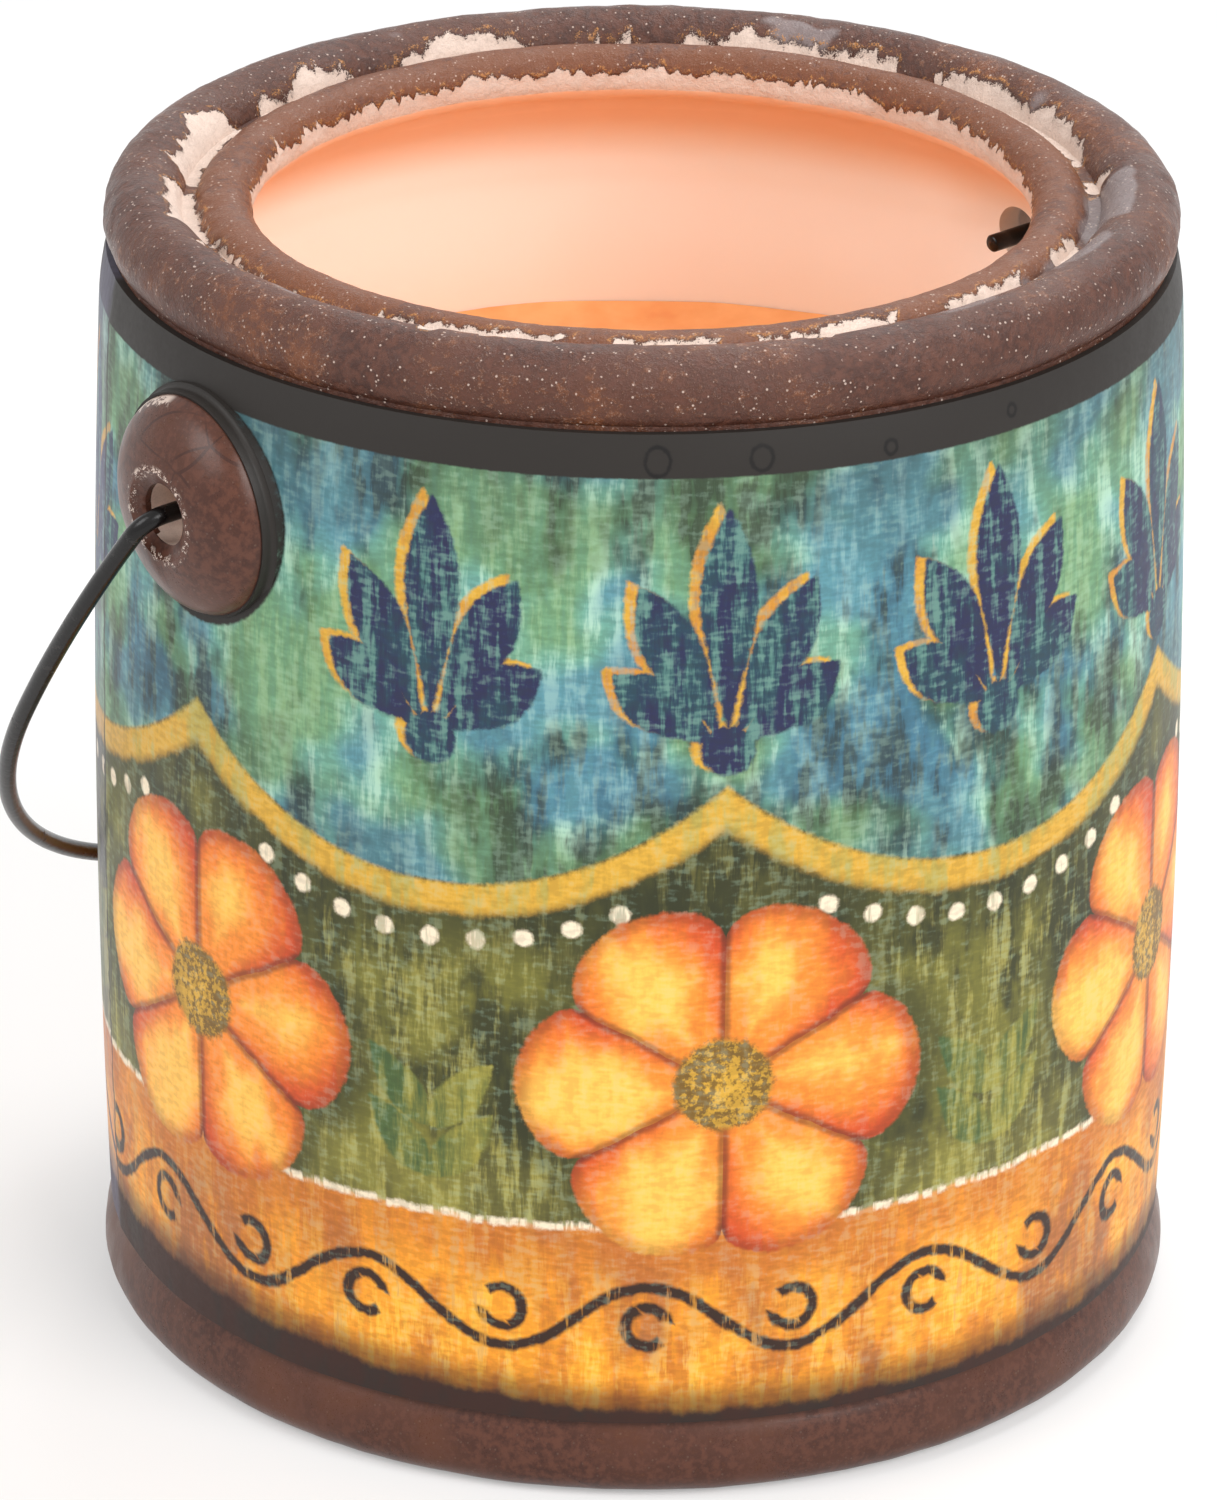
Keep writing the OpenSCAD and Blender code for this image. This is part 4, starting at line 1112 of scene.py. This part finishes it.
class CANDLE_OT_wax(bpy.types.Operator):
    """Builds the wax and its two braided wicks"""

    bl_idname = "candle.wax"
    bl_label = "Wax and wicks"

    def execute(self, context):
        s, _, k = sizes()
        c = context.scene.candle_colours
        crock = Crock(s)
        gap = 0.1 * MM
        top = k.wax_z + k.wax_creep
        corner_z = s.floor_t + s.floor_round
        side = [(crock.cavity_r(z) - gap, z) for z in crock.heights(corner_z, top, 24)]
        corner = arc(side[0][0] - s.floor_round, corner_z, s.floor_round, -90, 0, 10)[:-1]
        creep_w, steps = 6 * MM, 12
        parts = [i / steps for i in range(1, steps + 1)]
        creep = [(side[-1][0] - creep_w * t, k.wax_z + k.wax_creep * (1 - t) ** 2) for t in parts]
        level = even([creep[-1], (0, k.wax_z)], 1.2 * MM)[1:]
        wax = revolve("wax", [(0, s.floor_t)] + corner + side + creep + level, round_turns(WAX_COLUMNS))
        tools = []
        for sign in (-1, 1):
            place = Matrix.Translation((sign * k.wick_gap / 2, 0, 0))
            neck_r = k.wick_d / 2 + k.neck_wall
            neck_z = s.floor_t + k.tab_t + k.neck_h
            tab_r, wick_r, tab_z = k.tab_d / 2, k.wick_d / 2, s.floor_t + k.tab_t
            stack = [(0, s.floor_t - MM), (tab_r, s.floor_t - MM), (tab_r, tab_z), (neck_r, tab_z), (neck_r, neck_z)]
            stack += [(wick_r, neck_z), (wick_r, top), (0, top)]
            tools.append(revolve("pocket", stack, round_turns(POCKET_COLUMNS), place=place))
        carve(wax, "DIFFERENCE", tools)
        push_out(wax, lambda co: self.cooling(k, co))
        dress(wax, poured_wax(c), "crock", ["wax_fill"])
        cotton = waxed_cotton(c)
        for number, sign in ((1, -1), (2, 1)):
            dress(self.wick(s, k, number, sign), cotton, "crock", [f"wick_{number}"], crease=70)
        return {"FINISHED"}

    def cooling(self, k, co):
        """Soft unevenness of the wax's top, with a small rise at each wick."""
        if co.z < k.wax_z - 0.5 * MM:
            return 0.0
        p = co / MM
        rise = sum(math.exp(-((math.hypot(p.x - sign * k.wick_gap / MM / 2, p.y) - 1.3) / 1.6)) for sign in (-1, 1))
        return (0.22 * noise.noise(p / 11) + 0.05 * noise.noise(p / 2.5) + 0.5 * rise) * MM

    def wick(self, s, k, number, sign):
        """A braided wick, round inside the wax and plaited above it."""
        foot = s.floor_t + k.tab_t
        tip = k.wax_z + k.wick_out
        shown = k.wax_z - 1 * MM
        rows = [foot] + [shown + (tip - shown) * i / 90 for i in range(91)]
        rings = []
        for z in rows:
            t = max(0.0, (z - shown) / (tip - shown))
            narrow = 1 - 0.25 * max(0.0, (t - 0.9) / 0.1) ** 2
            pitch = (z - shown) / MM * 1.3
            ring = []
            for a in round_turns(40):
                plait = max(math.cos(1.5 * (a + pitch)) ** 2, math.cos(1.5 * (a - pitch) + 0.8) ** 2)
                r = k.wick_d / 2 * narrow * (1 - 0.16 * (1 - plait) * min(1.0, t * 8))
                ring.append((sign * k.wick_gap / 2 + r * math.cos(a), r * math.sin(a), z))
            rings.append(ring)
        return tube(f"wick_braid_{number}", rings)


class CANDLE_OT_tabs(bpy.types.Operator):
    """Finishes the two wick tabs inside the wax"""

    bl_idname = "candle.tabs"
    bl_label = "Wick tabs"

    def execute(self, context):
        steel = tinned_steel(context.scene.candle_colours)
        for number in (1, 2):
            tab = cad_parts[f"wick_tab_{number}"]
            tab.data.materials.clear()
            tab.data.materials.append(steel)
        return {"FINISHED"}


class CANDLE_OT_bail(bpy.types.Operator):
    """Bends the coated wire bail through both ears"""

    bl_idname = "candle.bail"
    bl_label = "Bail"

    def execute(self, context):
        s, _, k = sizes()
        crock = Crock(s)
        lean = math.degrees(k.leg_lean)
        bend_x = crock.ear_face - k.bend_tuck
        stub_x = crock.cavity_r(s.ear_z) - k.stub_in
        leg_x = bend_x + k.bend_r * math.cos(k.leg_lean)
        leg_y = k.bend_r * (1 - math.sin(k.leg_lean))
        bow_y = leg_y + 2 * k.leg_r * math.sin(k.leg_lean)
        hoop_r = leg_x / math.cos(k.leg_lean)
        hoop_y = bow_y - hoop_r * math.sin(k.leg_lean)
        half = even([(stub_x, 0), (bend_x, 0)], 2 * MM)
        half += arc(bend_x, k.bend_r, k.bend_r, -90, -lean, 12)[1:]
        leg_c = leg_x - k.leg_r * math.cos(k.leg_lean), leg_y + k.leg_r * math.sin(k.leg_lean)
        half += arc(*leg_c, k.leg_r, -lean, lean, 24)[1:]
        half += arc(0, hoop_y, hoop_r, lean, 90, 60)[1:]
        line = half + [(-px, py) for px, py in reversed(half[:-1])]
        fall = math.acos((crock.belly_r + k.wire_d / 2 + k.rest_gap) / (hoop_y + hoop_r))
        place = (
            Matrix.Translation((0, 0, s.ear_z))
            @ Matrix.Rotation(-s.ear_slope, 4, "Y")
            @ Matrix.Rotation(-fall, 4, "X")
        )
        piece = self.sweep(line, k.wire_d / 2, place)
        dress(piece, coated_wire(context.scene.candle_colours), "bail", ["bail"], crease=50)
        return {"FINISHED"}

    def sweep(self, line, wire_r, place):
        """Round wire along a flat line, with blunt ends that are slightly rounded."""
        bevel = 0.2 * MM
        line = [Vector(point) for point in line]
        second = line[0] + (line[1] - line[0]).normalized() * bevel
        last_but_one = line[-1] + (line[-2] - line[-1]).normalized() * bevel
        line = [line[0], second, *line[1:-1], last_but_one, line[-1]]
        rings = []
        for i, p in enumerate(line):
            r = wire_r - bevel if i in (0, len(line) - 1) else wire_r
            way = (line[min(i + 1, len(line) - 1)] - line[max(i - 1, 0)]).normalized()
            turns = [(r * math.cos(-t), r * math.sin(-t)) for t in round_turns(24)]
            rings.append([place @ Vector((p.x - way.y * a, p.y + way.x * a, up)) for a, up in turns])
        return tube("bail_wire", rings)


class CANDLE_OT_stage(bpy.types.Operator):
    """Sets up the floor, the soft studio lights and the camera"""

    bl_idname = "candle.stage"
    bl_label = "Stage"
    front = math.radians(231)

    def execute(self, context):
        scene = context.scene
        scene.view_settings.view_transform = "Standard"
        reach = 3.0
        corners = [(-reach, -reach, 0), (reach, -reach, 0), (reach, reach, 0), (-reach, reach, 0)]
        floor = new_piece("floor", corners, [(0, 1, 2, 3)])
        floor.data.materials.append(pale_floor(scene.candle_colours))
        scene.world = self.world()
        self.camera(scene)
        middle = Vector((0, 0, 0.06))
        # name, azimuth from the camera's side, elevation, distance, size, power
        lamps = (
            ("key", 42, 37, 1.1, 0.8, 9.0),
            ("fill", -60, 38, 1.2, 0.8, 6.5),
            ("back", 150, 60, 0.9, 0.6, 5.0),
        )
        for name, side, high, far, wide, power in lamps:
            data = bpy.data.lights.new(name, "AREA")
            data.shape = "DISK"
            data.size = wide
            data.energy = power
            lamp = bpy.data.objects.new(name, data)
            scene.collection.objects.link(lamp)
            turn = self.front + math.radians(side)
            up = math.radians(high)
            way = Vector((math.cos(turn) * math.cos(up), math.sin(turn) * math.cos(up), math.sin(up)))
            facing = way.to_track_quat("Z", "Y").to_matrix().to_4x4()
            lamp.matrix_world = Matrix.Translation(middle + way * far) @ facing
        return {"FINISHED"}

    def world(self):
        """A white studio: full white where it is seen, and dimmer where it lights the crock."""
        g = Graph("studio", "worlds")
        light = 0.42
        background = g.node("Background", [(1, 1, 1), g.seen() * (1 - light) + light])
        return g.close(background, "OutputWorld")

    def camera(self, scene):
        """The photograph's view: from before the crock, from above, with a long lens."""
        focal_px = 7500
        far, high = 0.6816, 0.3625
        pitch, yaw, roll = 0.424, -0.0042, 0.007
        right = Vector((-math.sin(self.front), math.cos(self.front), 0))
        ahead = Vector((-math.cos(self.front), -math.sin(self.front), 0))
        up = Vector((0, 0, 1))
        level = ahead * math.cos(yaw) + right * math.sin(yaw)
        look = level * math.cos(pitch) - up * math.sin(pitch)
        side = right * math.cos(yaw) - ahead * math.sin(yaw)
        rise = side.cross(look)
        side, rise = side * math.cos(roll) + rise * math.sin(roll), rise * math.cos(roll) - side * math.sin(roll)
        data = bpy.data.cameras.new("camera")
        data.sensor_width = 36
        data.lens = focal_px * data.sensor_width / PHOTO_H
        data.clip_start = 0.01
        camera = bpy.data.objects.new("camera", data)
        scene.collection.objects.link(camera)
        turned = Matrix((side, rise, -look)).transposed().to_4x4()
        camera.matrix_world = Matrix.Translation(-ahead * far + up * high) @ turned
        scene.camera = camera


OPERATORS = (
    CANDLE_OT_crock,
    CANDLE_OT_wrap,
    CANDLE_OT_wax,
    CANDLE_OT_tabs,
    CANDLE_OT_bail,
    CANDLE_OT_stage,
)
GROUPS = {
    "crock_sizes": CrockSizes,
    "wrap_sizes": WrapSizes,
    "candle_sizes": CandleSizes,
    "candle_colours": CandleColours,
}


class CANDLE_PT_panel(bpy.types.Panel):
    """Lists the candle's pieces and their settings"""

    bl_idname = "CANDLE_PT_panel"
    bl_label = "Crock candle"
    bl_space_type = "VIEW_3D"
    bl_region_type = "UI"
    bl_category = "Candle"

    def draw(self, context):
        for operator in OPERATORS:
            self.layout.operator(operator.bl_idname)
        for name, group in GROUPS.items():
            box = self.layout.box()
            for key in group.__annotations__:
                box.prop(getattr(context.scene, name), key)


def register():
    for group in GROUPS.values():
        bpy.utils.register_class(group)
    for name, group in GROUPS.items():
        setattr(bpy.types.Scene, name, PointerProperty(type=group))
    for made in (*OPERATORS, CANDLE_PT_panel):
        bpy.utils.register_class(made)


def unregister():
    for made in (CANDLE_PT_panel, *reversed(OPERATORS)):
        bpy.utils.unregister_class(made)
    for name, group in GROUPS.items():
        delattr(bpy.types.Scene, name)
        bpy.utils.unregister_class(group)


def main():
    register()
    bpy.ops.candle.crock()
    bpy.ops.candle.wrap()
    bpy.ops.candle.wax()
    bpy.ops.candle.tabs()
    bpy.ops.candle.bail()
    bpy.ops.candle.stage()


if __name__ == "__main__":
    main()
